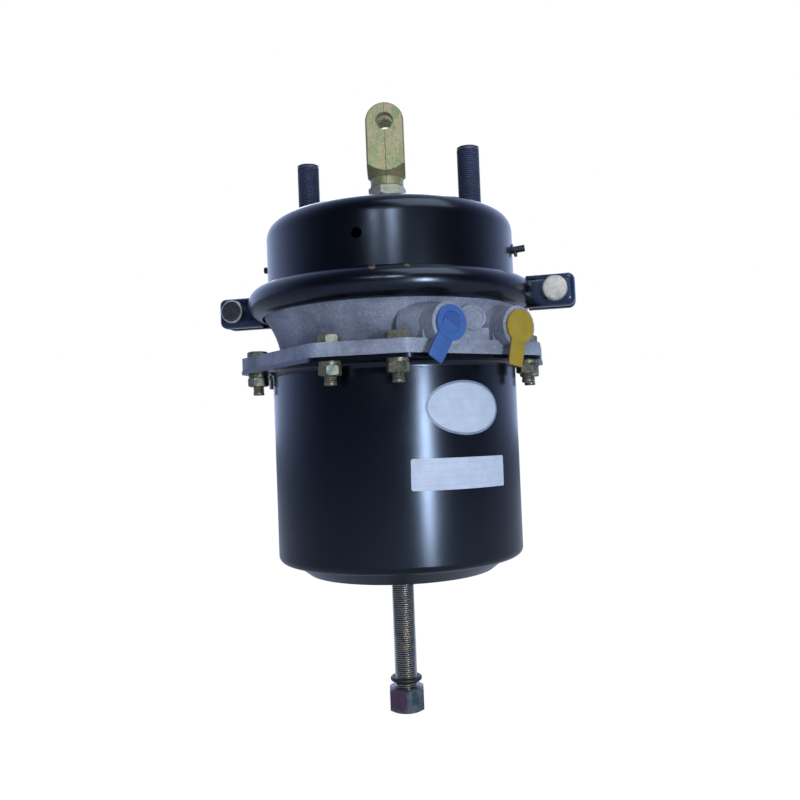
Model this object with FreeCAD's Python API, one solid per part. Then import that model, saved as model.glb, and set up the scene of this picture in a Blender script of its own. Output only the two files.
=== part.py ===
import FreeCAD, Part
import math
import os

# Spring brake chamber: a service diaphragm chamber on top of a piston spring brake.
# Millimetres. The origin is the centre of the mounting face, +Z points out along the push rod.
# Azimuths are measured from -Y (the front) towards +X.

V = FreeCAD.Vector

# Driving dimensions, service housing and its mounting face
STUD_SPACING = 120.65
STUD_DIAMETER = 16.0
STUD_SHOULDER_DIAMETER = 17.0
STUD_REACH = 48.8
STUD_HEAD_DIAMETER = 24.0
STUD_HEAD_HEIGHT = 4.0
HOUSING_STEP = 1.5
HOUSING_WALL = 3.0
HOUSING_SHOULDER = 13.0
RIM_BEND = 2.5
ROD_OPENING_DIAMETER = 42.0
VENT_DROP = 26.5
VENT_DIAMETER = 7.0
BREATHER_REACH = 9.0
BREATHER_RADIUS = 2.4

# Clamp joint between the housing and the cast body
CLAMP_DROP = 58.7
CLAMP_STANDOFF = 14.4
CLAMP_CROWN = 10.25
CLAMP_WALL = 3.0
CLAMP_LIP_TOP = 2.2
CLAMP_LIP_BOTTOM = 0.7
DIAPHRAGM_THICKNESS = 3.2
BODY_LIP_THICKNESS = 6.0
EAR_LENGTH = 28.0
EAR_FACE = 12.6
EAR_HEIGHT = 22.4
EAR_CORNER = 5.0
EAR_WALL = 3.2
HALF_GAP = 3.0
CLAMP_BOLT_STANDOFF = 14.6
CLAMP_BOLT_DIAMETER = 10.0
CLAMP_BOLT_HEAD_DIAMETER = 16.8
CLAMP_BOLT_HEAD = 6.4
CLAMP_NUT_FLATS = 16.0
CLAMP_NUT_HEIGHT = 8.4
CLAMP_BOLT_PAST_NUT = 5.0
CLAMP_NUT_TURN = 30.0

# Cast centre body
BODY_CLOCK = 2.1
FLANGE_TOP_DROP = 95.8
FLANGE_THICKNESS = 9.0
FLANGE_SIDE_MARGIN = 12.9
FLANGE_CORNER_MARGIN = 9.3
FLANGE_CORNER_FILLET = 10.0
CONE_FOOT_WALL = 11.0
CONE_WAIST_WALL = 3.1
CONE_WAIST_RISE = 14.6
CONE_NECK_WALL = 5.6
FLOOR_DROP = 84.3
FLOOR_THICKNESS = 10.7
BOWL_RIM_INSET = 2.6
BOWL_MIDDLE_INSET = 7.1
BOWL_FLOOR_INSET = 18.6
AIR_GROOVE_INSET = 2.0
AIR_GROOVE_WIDTH = 7.0
AIR_GROOVE_DEPTH = 6.5
SPIGOT_DEPTH = 5.0
SPIGOT_WIDTH = 11.5
HUB_RADIUS = 31.0
HUB_DRAFT = 3.0

# Air ports
PORT_AZIMUTH = 45.0
PORT_SPREAD = 27.7
PORT_PROUD = 8.0
PORT_DROP = 87.3
PORT_BOSS_RADIUS = 13.4
PORT_BOSS_DRAFT = 0.9
PORT_FLARE_RADIUS = 20.0
PORT_FLARE_DEPTH = 11.0
PORT_THREAD_DIAMETER = 16.0
PORT_THREAD_PITCH = 1.5
PORT_THREAD_LENGTH = 13.0
PORT_SEAT_RADIUS = 9.2
PORT_SEAT_DEPTH = 3.0
PORT_SKIRT_SETBACK = 2.0
PASSAGE_DIAMETER = 6.0
PASSAGE_INSET = 3.0
PAD_WIDTH = 22.0
PAD_HEIGHT = 16.0
PAD_RIM = 1.8
PAD_RECESS = 0.7
PAD_SETBACK = 4.2
PAD_DROP = 81.0
WEB_SETBACK = 5.5
WEB_RISE = 8.5
PLATE_PAD_START = -40.0
PLATE_PAD_END = 18.0
PLATE_PAD_PROUD = 1.2
PLATE_PAD_CUT = 4.0

# Dust caps on the ports
CAP_RADIUS = 11.0
CAP_THICKNESS = 2.0
CAP_RECESS_RADIUS = 5.4
CAP_RECESS_DEPTH = 1.2
CAP_TAB_WIDTH = 11.5
CAP_TAB_LENGTH = 26.0
CAP_TAB_THICKNESS = 1.6
BLUE_TAB_TURN = 31.0
YELLOW_TAB_TURN = 12.0

# Bolts that hold the spring cylinder to the cast body
FLANGE_BOLT_STANDOFF = 11.4
FLANGE_BOLT_SPREAD = 12.5
FLANGE_BOLT_DIAMETER = 8.0
FLANGE_BOLT_FLATS = 13.0
FLANGE_BOLT_HEAD = 5.3
FLANGE_BOLT_LENGTH = 26.2
FLANGE_HOLE_DIAMETER = 9.0
SPRING_WASHER_DIAMETER = 14.0
SPRING_WASHER_HEIGHT = 2.0
SPRING_WASHER_SLOT = 1.5
FLANGE_NUT_HEIGHT = 6.5
FLANGE_BOLT_TURN = 12.0

# Spring cylinder
CYLINDER_RADIUS = 87.1
CYLINDER_WALL = 2.5
CYLINDER_DEPTH = 145.0
CYLINDER_CORNER = 5.0
CYLINDER_FLANGE_FILLET = 4.0
CYLINDER_FLANGE_OVERHANG = 0.6
BASE_LEDGE_WIDTH = 4.0
BASE_DISH_DEPTH = 9.0
BASE_DISH_RUN = 12.0
INSERT_RADIUS = 16.0
INSERT_LENGTH = 25.0
INSERT_PROUD = 0.6

# Push rod, plate, clevis and lock nut
SERVICE_STROKE = 64.0
ROD_DIAMETER = 16.0
ROD_TOP = 45.0
PLATE_INSET = 8.0
PLATE_THICKNESS = 3.0
PLATE_RIM = 4.0
CLEVIS_WIDTH = 27.6
CLEVIS_DEPTH = 30.4
CLEVIS_SLOT = 16.4
CLEVIS_SLOT_FLOOR = 47.0
PIN_HEIGHT = 70.8
PIN_HOLE_DIAMETER = 12.7
CLEVIS_EDGE = 1.2
CLEVIS_TURN = 12.0
CLEVIS_NECK_RADIUS = 12.0
CLEVIS_FOOT = 26.5
CLEVIS_CONE_START = 32.0
LOCK_NUT_FLATS = 24.0
LOCK_NUT_HEIGHT = 8.0
LOCK_NUT_TURN = 53.0
GUARD_RADIUS = 27.0
GUARD_THICKNESS = 2.5
GUARD_NECK_RADIUS = 13.0
GUARD_NECK_RISE = 3.0
RETURN_WIRE = 4.5
RETURN_FOOT_INSET = 12.0
RETURN_HEAD_RADIUS = 34.0
RETURN_TURNS = 5.0

# Spring brake piston, tube and power spring
PISTON_DROP = 174.5
PISTON_CROWN = 5.0
PISTON_SKIRT_WALL = 6.4
PISTON_LENGTH = 42.0
PISTON_HUB_RADIUS = 27.0
PISTON_HUB_LENGTH = 18.0
PISTON_LEDGE = 6.0
PISTON_SEAL_DROP = 4.0
PISTON_SEAL_HEIGHT = 5.0
PISTON_SEAL_DEPTH = 3.4
GUIDE_DROP = 26.0
GUIDE_HEIGHT = 10.0
GUIDE_DEPTH = 2.0
TUBE_RADIUS = 17.5
BOLT_ROOM_SHARE = 0.43
TUBE_CAP_THICKNESS = 6.0
BUSH_WALL = 3.0
BUSH_LENGTH = 8.0
TUBE_SEAL_DEPTH = 3.2
TUBE_SEAL_HEIGHT = 4.0
TUBE_SEAL_PITCH = 5.5
POWER_WIRE = 13.5
POWER_RADIUS = 60.0
POWER_TURNS = 4.0
WIRE_SIDES = 12

# Release bolt
BOLT_DIAMETER = 16.0
BOLT_HEAD_GAP = 0.7
BOLT_HEAD_HEIGHT = 7.0
THRUST_WASHER_HEIGHT = 2.5
HEX_FLATS = 24.0
HEX_HEIGHT = 16.6
HEX_TURN = 13.0
O_RING_SECTION = 3.2
O_RING_LIFT = 5.5
RELEASE_TRAVEL = 75.0
RELEASE_END_GAP = 1.5

# Clearances
FIT = 0.05
SEAT = 0.2
RUNNING = 0.05

# Radii worked out from the sizes above
HOUSING_RADIUS = CYLINDER_RADIUS + HOUSING_STEP
CLAMP_OUTER_RADIUS = HOUSING_RADIUS + CLAMP_STANDOFF
EAR_TIP = CLAMP_OUTER_RADIUS + EAR_LENGTH
CLAMP_BOLT_RADIUS = CLAMP_OUTER_RADIUS + CLAMP_BOLT_STANDOFF
BOWL_RIM_RADIUS = HOUSING_RADIUS - BOWL_RIM_INSET
BOWL_MIDDLE_RADIUS = HOUSING_RADIUS - BOWL_MIDDLE_INSET
BOWL_FLOOR_RADIUS = HOUSING_RADIUS - BOWL_FLOOR_INSET
AIR_GROOVE_RADIUS = BOWL_FLOOR_RADIUS - AIR_GROOVE_INSET
CONE_FOOT_RADIUS = BOWL_FLOOR_RADIUS + CONE_FOOT_WALL
CONE_WAIST_RADIUS = BOWL_MIDDLE_RADIUS + CONE_WAIST_WALL
CONE_NECK_RADIUS = BOWL_RIM_RADIUS + CONE_NECK_WALL
PLATE_RADIUS = BOWL_FLOOR_RADIUS - PLATE_INSET
RETURN_FOOT_RADIUS = PLATE_RADIUS - RETURN_FOOT_INSET
FLANGE_BOLT_CIRCLE = CYLINDER_RADIUS + FLANGE_BOLT_STANDOFF
FLANGE_HALF = FLANGE_BOLT_CIRCLE * math.cos(math.radians(45 - FLANGE_BOLT_SPREAD)) + FLANGE_SIDE_MARGIN
FLANGE_CORNER_REACH = FLANGE_BOLT_CIRCLE * math.cos(math.radians(FLANGE_BOLT_SPREAD)) + FLANGE_CORNER_MARGIN
PORT_FACE = round(FLANGE_HALF + PORT_PROUD, 1)
PORT_SKIRT_REACH = FLANGE_HALF - PORT_SKIRT_SETBACK
PASSAGE_RADIUS = CONE_FOOT_RADIUS - PASSAGE_INSET
PAD_REACH = FLANGE_HALF - PAD_SETBACK
WEB_REACH = FLANGE_HALF - WEB_SETBACK

# Levels worked out from the sizes above
STACK = HOUSING_WALL + DIAPHRAGM_THICKNESS + BODY_LIP_THICKNESS
RIM_TOP = -CLAMP_DROP + STACK / 2
RIM_BOTTOM = RIM_TOP - HOUSING_WALL
LIP_TOP = RIM_BOTTOM - DIAPHRAGM_THICKNESS
LIP_BOTTOM = LIP_TOP - BODY_LIP_THICKNESS
CROWN_CENTRE = CLAMP_OUTER_RADIUS - CLAMP_CROWN
LIP_RADIUS = CROWN_CENTRE + math.sqrt((CLAMP_CROWN - CLAMP_WALL) ** 2 - (STACK / 2) ** 2) - FIT
FLOOR = -FLOOR_DROP
FLANGE_TOP = -FLANGE_TOP_DROP
FLANGE_BOTTOM = FLANGE_TOP - FLANGE_THICKNESS
STEEL_BOTTOM = FLANGE_BOTTOM - CYLINDER_WALL
BODY_BOTTOM = FLANGE_BOTTOM - SPIGOT_DEPTH
CYLINDER_INNER = CYLINDER_RADIUS - CYLINDER_WALL
CYLINDER_BASE = FLANGE_BOTTOM - CYLINDER_DEPTH
CYLINDER_FLOOR = CYLINDER_BASE + CYLINDER_WALL
ROD_RADIUS = ROD_DIAMETER / 2
DIAPHRAGM_BOTTOM = FLOOR + SEAT
DIAPHRAGM_TOP = DIAPHRAGM_BOTTOM + DIAPHRAGM_THICKNESS
PLATE_BOTTOM = DIAPHRAGM_TOP + SEAT
PLATE_TOP = PLATE_BOTTOM + PLATE_THICKNESS
PISTON_TOP = -PISTON_DROP
PISTON_UNDER = PISTON_TOP - PISTON_CROWN
PISTON_FOOT = PISTON_TOP - PISTON_LENGTH
PISTON_RADIUS = CYLINDER_INNER - SEAT
LEDGE_TOP = PISTON_TOP - PISTON_HUB_LENGTH + PISTON_LEDGE
LEDGE_BOTTOM = LEDGE_TOP - PISTON_LEDGE
TUBE_BORE = TUBE_RADIUS + 0.3
CAP_TOP = FLOOR - SEAT
TUBE_TOP = CAP_TOP - TUBE_CAP_THICKNESS
BOLT_RADIUS = BOLT_DIAMETER / 2
TUBE_INNER = BOLT_RADIUS + BOLT_ROOM_SHARE * (TUBE_RADIUS - BOLT_RADIUS)
BOLT_HEAD_RADIUS = TUBE_INNER - BOLT_HEAD_GAP
HEAD_BOTTOM = LEDGE_TOP + THRUST_WASHER_HEIGHT
HEAD_TOP = HEAD_BOTTOM + BOLT_HEAD_HEIGHT
O_RING_CENTRE = CYLINDER_BASE - INSERT_PROUD - RELEASE_END_GAP - RELEASE_TRAVEL - O_RING_SECTION / 2
HEX_TOP = O_RING_CENTRE - O_RING_LIFT
HEX_BOTTOM = HEX_TOP - HEX_HEIGHT
PORT_BORE = (PORT_THREAD_DIAMETER - 1.0825 * PORT_THREAD_PITCH) / 2


def rod(radius, low, high):
    """A round bar about Z between two heights."""
    return Part.makeCylinder(radius, high - low, V(0, 0, low))


def ring(outer, inner, low, high):
    """A plain ring about Z."""
    return rod(outer, low, high).cut(rod(inner, low - 1, high + 1))


def box(x0, x1, y0, y1, z0, z1):
    """A box between two corners."""
    return Part.makeBox(x1 - x0, y1 - y0, z1 - z0, V(x0, y0, z0))


def turned(edges):
    """Revolves a closed outline in the XZ plane about Z."""
    face = Part.Face(Part.Wire(Part.__sortEdges__(edges)))
    return face.revolve(V(0, 0, 0), V(0, 0, 1), 360)


def line(a, b):
    """A straight edge between two (radius, height) points."""
    return Part.makeLine(V(a[0], 0, a[1]), V(b[0], 0, b[1]))


def bend(a, middle, b):
    """An arc through three (radius, height) points."""
    return Part.Arc(V(a[0], 0, a[1]), V(middle[0], 0, middle[1]), V(b[0], 0, b[1])).toShape()


def outline(points):
    """Straight edges round a closed list of (radius, height) points, without repeated points."""
    pairs = zip(points, points[1:] + points[:1])
    return [line(a, b) for a, b in pairs if math.dist(a, b) > 1e-6]


def turned_points(points):
    """Revolves a closed polygon of (radius, height) points about Z."""
    return turned(outline(points))


def on_circle(centre, radius, degrees):
    """The (radius, height) point on a circle at an angle from outwards, counted upwards."""
    a = math.radians(degrees)
    return (centre[0] + radius * math.cos(a), centre[1] + radius * math.sin(a))


def hexagon(flats, low, high, chamfer_low=0.0, chamfer_high=0.0):
    """A hexagonal prism about Z with a corner towards -Y and rounded-off ends."""
    corner = flats / math.sqrt(3)
    ends = [V(corner * math.sin(math.radians(60 * i)), -corner * math.cos(math.radians(60 * i)), low)
            for i in range(6)]
    prism = Part.Face(Part.makePolygon(ends + ends[:1])).extrude(V(0, 0, high - low))
    slope = math.tan(math.radians(30))
    reach = corner - flats / 2 * 0.95
    points = [(0, low), (corner + 1, low), (corner + 1, high), (0, high)]
    if chamfer_low:
        points[1:2] = [(flats / 2 * 0.95, low), (corner + 1, low + (reach + 1) * slope)]
    if chamfer_high:
        points[-2:-1] = [(corner + 1, high - (reach + 1) * slope), (flats / 2 * 0.95, high)]
    return prism.common(turned_points(points))


def chamfered_rod(radius, low, high, low_chamfer, high_chamfer):
    """A round bar whose ends are chamfered."""
    return turned_points([(0, low), (radius - low_chamfer, low), (radius, low + low_chamfer),
                          (radius, high - high_chamfer), (radius - high_chamfer, high), (0, high)])


def turned_about(shape, degrees):
    """A copy of a shape turned about Z."""
    copy = shape.copy()
    copy.rotate(V(0, 0, 0), V(0, 0, 1), degrees)
    return copy


def moved(shape, x, y, z):
    """A copy of a shape moved by a vector."""
    copy = shape.copy()
    copy.translate(V(x, y, z))
    return copy


def at_azimuth(shape, azimuth):
    """A copy of a shape drawn at the front, turned to an azimuth."""
    return turned_about(shape, azimuth)


def facing_port(shape, sideways):
    """Places a shape drawn along +Z from the axis so that it points out along a port."""
    copy = shape.copy()
    copy.rotate(V(0, 0, 0), V(1, 0, 0), 90)
    copy.translate(V(sideways, 0, -PORT_DROP))
    return turned_about(copy, PORT_AZIMUTH)


def mounting_studs():
    """Two studs pressed through the mounting face from inside."""
    shank = chamfered_rod(STUD_DIAMETER / 2, 0, STUD_REACH, 0.0, 1.5)
    shoulder = rod(STUD_SHOULDER_DIAMETER / 2, -HOUSING_WALL, 0)
    head = rod(STUD_HEAD_DIAMETER / 2, -HOUSING_WALL - STUD_HEAD_HEIGHT, -HOUSING_WALL)
    stud = head.fuse([shoulder, shank])
    return Part.Compound([moved(stud, side * STUD_SPACING / 2, 0, 0) for side in (-1, 1)])


def service_housing():
    """The pressed steel housing over the service chamber, with its stud and vent holes."""
    outer = HOUSING_RADIUS
    inner = outer - HOUSING_WALL
    corner = (outer - HOUSING_SHOULDER, -HOUSING_SHOULDER)
    inside_shoulder = HOUSING_SHOULDER - HOUSING_WALL
    inside_bend = RIM_BEND + HOUSING_WALL
    bend_centre = (outer + RIM_BEND, RIM_TOP + RIM_BEND)
    opening = ROD_OPENING_DIAMETER / 2
    shell = turned([
        line((opening, 0), (corner[0], 0)),
        bend((corner[0], 0), on_circle(corner, HOUSING_SHOULDER, 45), (outer, corner[1])),
        line((outer, corner[1]), (outer, bend_centre[1])),
        bend((outer, bend_centre[1]), on_circle(bend_centre, RIM_BEND, 225), (bend_centre[0], RIM_TOP)),
        line((bend_centre[0], RIM_TOP), (LIP_RADIUS, RIM_TOP)),
        line((LIP_RADIUS, RIM_TOP), (LIP_RADIUS, RIM_BOTTOM)),
        line((LIP_RADIUS, RIM_BOTTOM), (bend_centre[0], RIM_BOTTOM)),
        bend((bend_centre[0], RIM_BOTTOM), on_circle(bend_centre, inside_bend, 225), (inner, bend_centre[1])),
        line((inner, bend_centre[1]), (inner, corner[1])),
        bend((inner, corner[1]), on_circle(corner, inside_shoulder, 45), (corner[0], -HOUSING_WALL)),
        line((corner[0], -HOUSING_WALL), (opening, -HOUSING_WALL)),
        line((opening, -HOUSING_WALL), (opening, 0)),
    ])
    for side in (-1, 1):
        hole = rod(STUD_SHOULDER_DIAMETER / 2 + FIT, -HOUSING_WALL - 1, 1)
        shell = shell.cut(moved(hole, side * STUD_SPACING / 2, 0, 0))
    vent = Part.makeCylinder(VENT_DIAMETER / 2, outer, V(0, 0, -VENT_DROP), V(0, -1, 0))
    for azimuth in (0, 90, 180, 270):
        shell = shell.cut(at_azimuth(vent, azimuth))
    return shell


def vent_plug():
    """The push-in plug in the rear vent hole."""
    start = HOUSING_RADIUS - HOUSING_WALL - 1.5
    stem = Part.makeCylinder(VENT_DIAMETER / 2 - FIT, HOUSING_RADIUS + 0.4 - start,
                             V(0, -start, -VENT_DROP), V(0, -1, 0))
    head = Part.makeCylinder(VENT_DIAMETER / 2 + 0.4, 3.2,
                             V(0, -HOUSING_RADIUS - 0.25, -VENT_DROP), V(0, -1, 0))
    return at_azimuth(stem.fuse(head), 180)


def breathers():
    """The breather nipples in the left and right vent holes, tilted up a little, each with a barb under it."""
    start = HOUSING_RADIUS - HOUSING_WALL - 1.5
    stem = Part.makeCylinder(VENT_DIAMETER / 2 - FIT, HOUSING_RADIUS + 0.8 - start,
                             V(0, -start, -VENT_DROP), V(0, -1, 0))
    tube = Part.makeCylinder(BREATHER_RADIUS, BREATHER_REACH - 0.2, V(0, -HOUSING_RADIUS - 0.2, -VENT_DROP - 0.8),
                             V(0, -1, 0.1))
    barb = Part.makeCone(1.8, 1.0, 4.4, V(0, -HOUSING_RADIUS - 2.2, -VENT_DROP - 1.2), V(0, -0.1, -1))
    nipple = stem.fuse([tube, barb])
    return Part.Compound([at_azimuth(nipple, azimuth) for azimuth in (90, 270)])


def dust_guard():
    """The rubber guard under the rod opening, with a neck that wipes the rod."""
    top = -HOUSING_WALL
    disc = ring(GUARD_RADIUS, ROD_RADIUS + RUNNING, top - GUARD_THICKNESS, top)
    neck = ring(GUARD_NECK_RADIUS, ROD_RADIUS + RUNNING, top - GUARD_THICKNESS, GUARD_NECK_RISE)
    return disc.fuse(neck).removeSplitter()


def diaphragm():
    """The rubber diaphragm at rest: rim in the clamp joint, centre lying on the body floor."""
    t = DIAPHRAGM_THICKNESS
    rim_foot = (BOWL_RIM_RADIUS - 1.5, LIP_TOP)
    floor_edge = (BOWL_FLOOR_RADIUS - 2.0, DIAPHRAGM_BOTTOM)
    knee = (BOWL_MIDDLE_RADIUS - 2.6, (LIP_TOP + FLOOR) / 2 + 0.5)
    knee_top = (knee[0] - 2.4, knee[1] + 2.2)
    return turned([
        line((0, DIAPHRAGM_BOTTOM), floor_edge),
        bend(floor_edge, knee, rim_foot),
        line(rim_foot, (LIP_RADIUS - FIT, LIP_TOP)),
        line((LIP_RADIUS - FIT, LIP_TOP), (LIP_RADIUS - FIT, LIP_TOP + t)),
        line((LIP_RADIUS - FIT, LIP_TOP + t), (rim_foot[0] - 3.0, LIP_TOP + t)),
        bend((rim_foot[0] - 3.0, LIP_TOP + t), knee_top, (floor_edge[0] - 1.5, DIAPHRAGM_TOP)),
        line((floor_edge[0] - 1.5, DIAPHRAGM_TOP), (0, DIAPHRAGM_TOP)),
        line((0, DIAPHRAGM_TOP), (0, DIAPHRAGM_BOTTOM)),
    ])


def band_section():
    """The clamp band as a full ring: a half-round channel over the two lips."""
    centre = (CROWN_CENTRE, -CLAMP_DROP)
    inner_crown = CLAMP_CROWN - CLAMP_WALL
    top_edge = CROWN_CENTRE - CLAMP_LIP_TOP
    low_angle = -math.degrees(math.acos(CLAMP_LIP_BOTTOM / CLAMP_CROWN))
    low_outer = on_circle(centre, CLAMP_CROWN, low_angle)
    low_inner = on_circle(centre, inner_crown, low_angle)
    high_outer = (CROWN_CENTRE, -CLAMP_DROP + CLAMP_CROWN)
    high_inner = (CROWN_CENTRE, -CLAMP_DROP + inner_crown)
    return turned([
        line((top_edge, high_outer[1]), high_outer),
        bend(high_outer, on_circle(centre, CLAMP_CROWN, 0), low_outer),
        line(low_outer, low_inner),
        bend(low_inner, on_circle(centre, inner_crown, 0), high_inner),
        line(high_inner, (top_edge, high_inner[1])),
        line((top_edge, high_inner[1]), (top_edge, high_outer[1])),
    ])


def clamp_front():
    """The front clamp half: half the band with a pressed ear at each end."""
    far = 2 * EAR_TIP
    half = band_section().common(box(-far, far, -far, -HALF_GAP, -far, 0))
    inner = CROWN_CENTRE
    ear = box(inner, EAR_TIP, -EAR_FACE, -HALF_GAP, -CLAMP_DROP - EAR_HEIGHT / 2, -CLAMP_DROP + EAR_HEIGHT / 2)
    outer_edges = [e for e in ear.Edges
                   if e.BoundBox.XMin > inner + 0.01 and e.BoundBox.YMax < -HALF_GAP - 0.01
                   or e.BoundBox.XMin > EAR_TIP - 0.01 and e.BoundBox.YLength > EAR_WALL
                   or e.BoundBox.XLength > EAR_WALL and e.BoundBox.YMax < -HALF_GAP - 0.01]
    ear = ear.makeFillet(EAR_CORNER, outer_edges)
    pocket = box(inner - 1, EAR_TIP - EAR_WALL, -EAR_FACE + EAR_WALL, 0,
                 -CLAMP_DROP - EAR_HEIGHT / 2 + EAR_WALL, -CLAMP_DROP + EAR_HEIGHT / 2 - EAR_WALL)
    hole = Part.makeCylinder(CLAMP_BOLT_DIAMETER / 2 + 0.25, 2 * EAR_FACE,
                             V(CLAMP_BOLT_RADIUS, -2 * EAR_FACE, -CLAMP_DROP), V(0, 1, 0))
    inside = rod(CROWN_CENTRE + 0.8 * (CLAMP_CROWN - CLAMP_WALL), -CLAMP_DROP - EAR_HEIGHT,
                 -CLAMP_DROP + EAR_HEIGHT)
    ear = ear.cut([pocket, hole, inside])
    other = ear.mirror(V(0, 0, 0), V(1, 0, 0))
    return half.fuse([ear, other]).removeSplitter()


def clamp_rear():
    """The rear clamp half, the same pressing turned half round."""
    return turned_about(clamp_front(), 180)


def clamp_bolts():
    """Two round-headed bolts through the ears, heads at the front."""
    length = 2 * EAR_FACE + CLAMP_NUT_HEIGHT + CLAMP_BOLT_PAST_NUT
    head = chamfered_rod(CLAMP_BOLT_HEAD_DIAMETER / 2, -CLAMP_BOLT_HEAD, 0, 1.0, 0.0)
    bolt = head.fuse(chamfered_rod(CLAMP_BOLT_DIAMETER / 2, 0, length, 0.0, 1.0))
    bolt.rotate(V(0, 0, 0), V(1, 0, 0), -90)
    return Part.Compound([moved(bolt, side * CLAMP_BOLT_RADIUS, -EAR_FACE, -CLAMP_DROP) for side in (-1, 1)])


def clamp_nuts():
    """The nuts of the clamp bolts, behind the rear ears."""
    nut = hexagon(CLAMP_NUT_FLATS, 0, CLAMP_NUT_HEIGHT, chamfer_low=1, chamfer_high=1)
    nut = turned_about(nut, CLAMP_NUT_TURN).cut(rod(CLAMP_BOLT_DIAMETER / 2 + FIT, -1, CLAMP_NUT_HEIGHT + 1))
    nut.rotate(V(0, 0, 0), V(1, 0, 0), -90)
    return Part.Compound([moved(nut, side * CLAMP_BOLT_RADIUS, EAR_FACE, -CLAMP_DROP) for side in (-1, 1)])


def flange_plate(low, high, overhang):
    """The square flange with cut corners that the cast body and the cylinder share."""
    half = FLANGE_HALF + overhang
    square = box(-half, half, -half, half, low, high)
    square.rotate(V(0, 0, 0), V(0, 0, 1), 45)
    reach = FLANGE_CORNER_REACH + overhang
    plate = square.common(box(-reach, reach, -reach, reach, low - 1, high + 1))
    uprights = [e for e in plate.Edges if e.BoundBox.ZLength > (high - low) * 0.9]
    return plate.makeFillet(FLANGE_CORNER_FILLET, uprights)


def bolt_azimuths():
    """The azimuths of the flange bolts: a pair at each cut corner."""
    return [quarter + side * FLANGE_BOLT_SPREAD for quarter in (0, 90, 180, 270) for side in (-1, 1)]


def at_flange_bolts(shape):
    """Copies of a shape drawn on the Z axis, one at each flange bolt."""
    placed = moved(shape, 0, -FLANGE_BOLT_CIRCLE, 0)
    return [turned_about(placed, azimuth) for azimuth in bolt_azimuths()]


def port_solid(sideways):
    """A port boss that flares at its root, with the skirt that runs down into the flange."""
    root = CONE_FOOT_RADIUS - 6
    flare_end = PORT_FACE - PORT_FLARE_DEPTH
    boss = Part.makeCone(PORT_BOSS_RADIUS + PORT_BOSS_DRAFT, PORT_BOSS_RADIUS, PORT_FACE - root, V(0, 0, root))
    flare = Part.makeCone(PORT_FLARE_RADIUS, PORT_BOSS_RADIUS - 0.5, flare_end - root, V(0, 0, root))
    headroom = rod(2 * PORT_FACE, FLANGE_BOTTOM + 2, LIP_BOTTOM - 1.5)
    flare = facing_port(flare, sideways).common(headroom)
    boss = facing_port(boss, sideways).fuse(flare)
    skirt = box(-PORT_BOSS_RADIUS, PORT_BOSS_RADIUS, -PORT_SKIRT_REACH, -root, FLANGE_BOTTOM, -PORT_DROP)
    skirt = turned_about(moved(skirt, sideways, 0, 0), PORT_AZIMUTH)
    return boss.fuse(skirt)


def port_bore(sideways, passage_end):
    """The seat, the thread's bore and the air passage of a port."""
    thread_start = PORT_FACE - PORT_SEAT_DEPTH - PORT_THREAD_LENGTH
    seat = rod(PORT_SEAT_RADIUS, PORT_FACE - PORT_SEAT_DEPTH, PORT_FACE + 5)
    thread = rod(PORT_BORE, thread_start, PORT_FACE)
    passage = rod(PASSAGE_DIAMETER / 2, passage_end, PORT_FACE)
    return facing_port(seat.fuse([thread, passage]), sideways)


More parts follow.
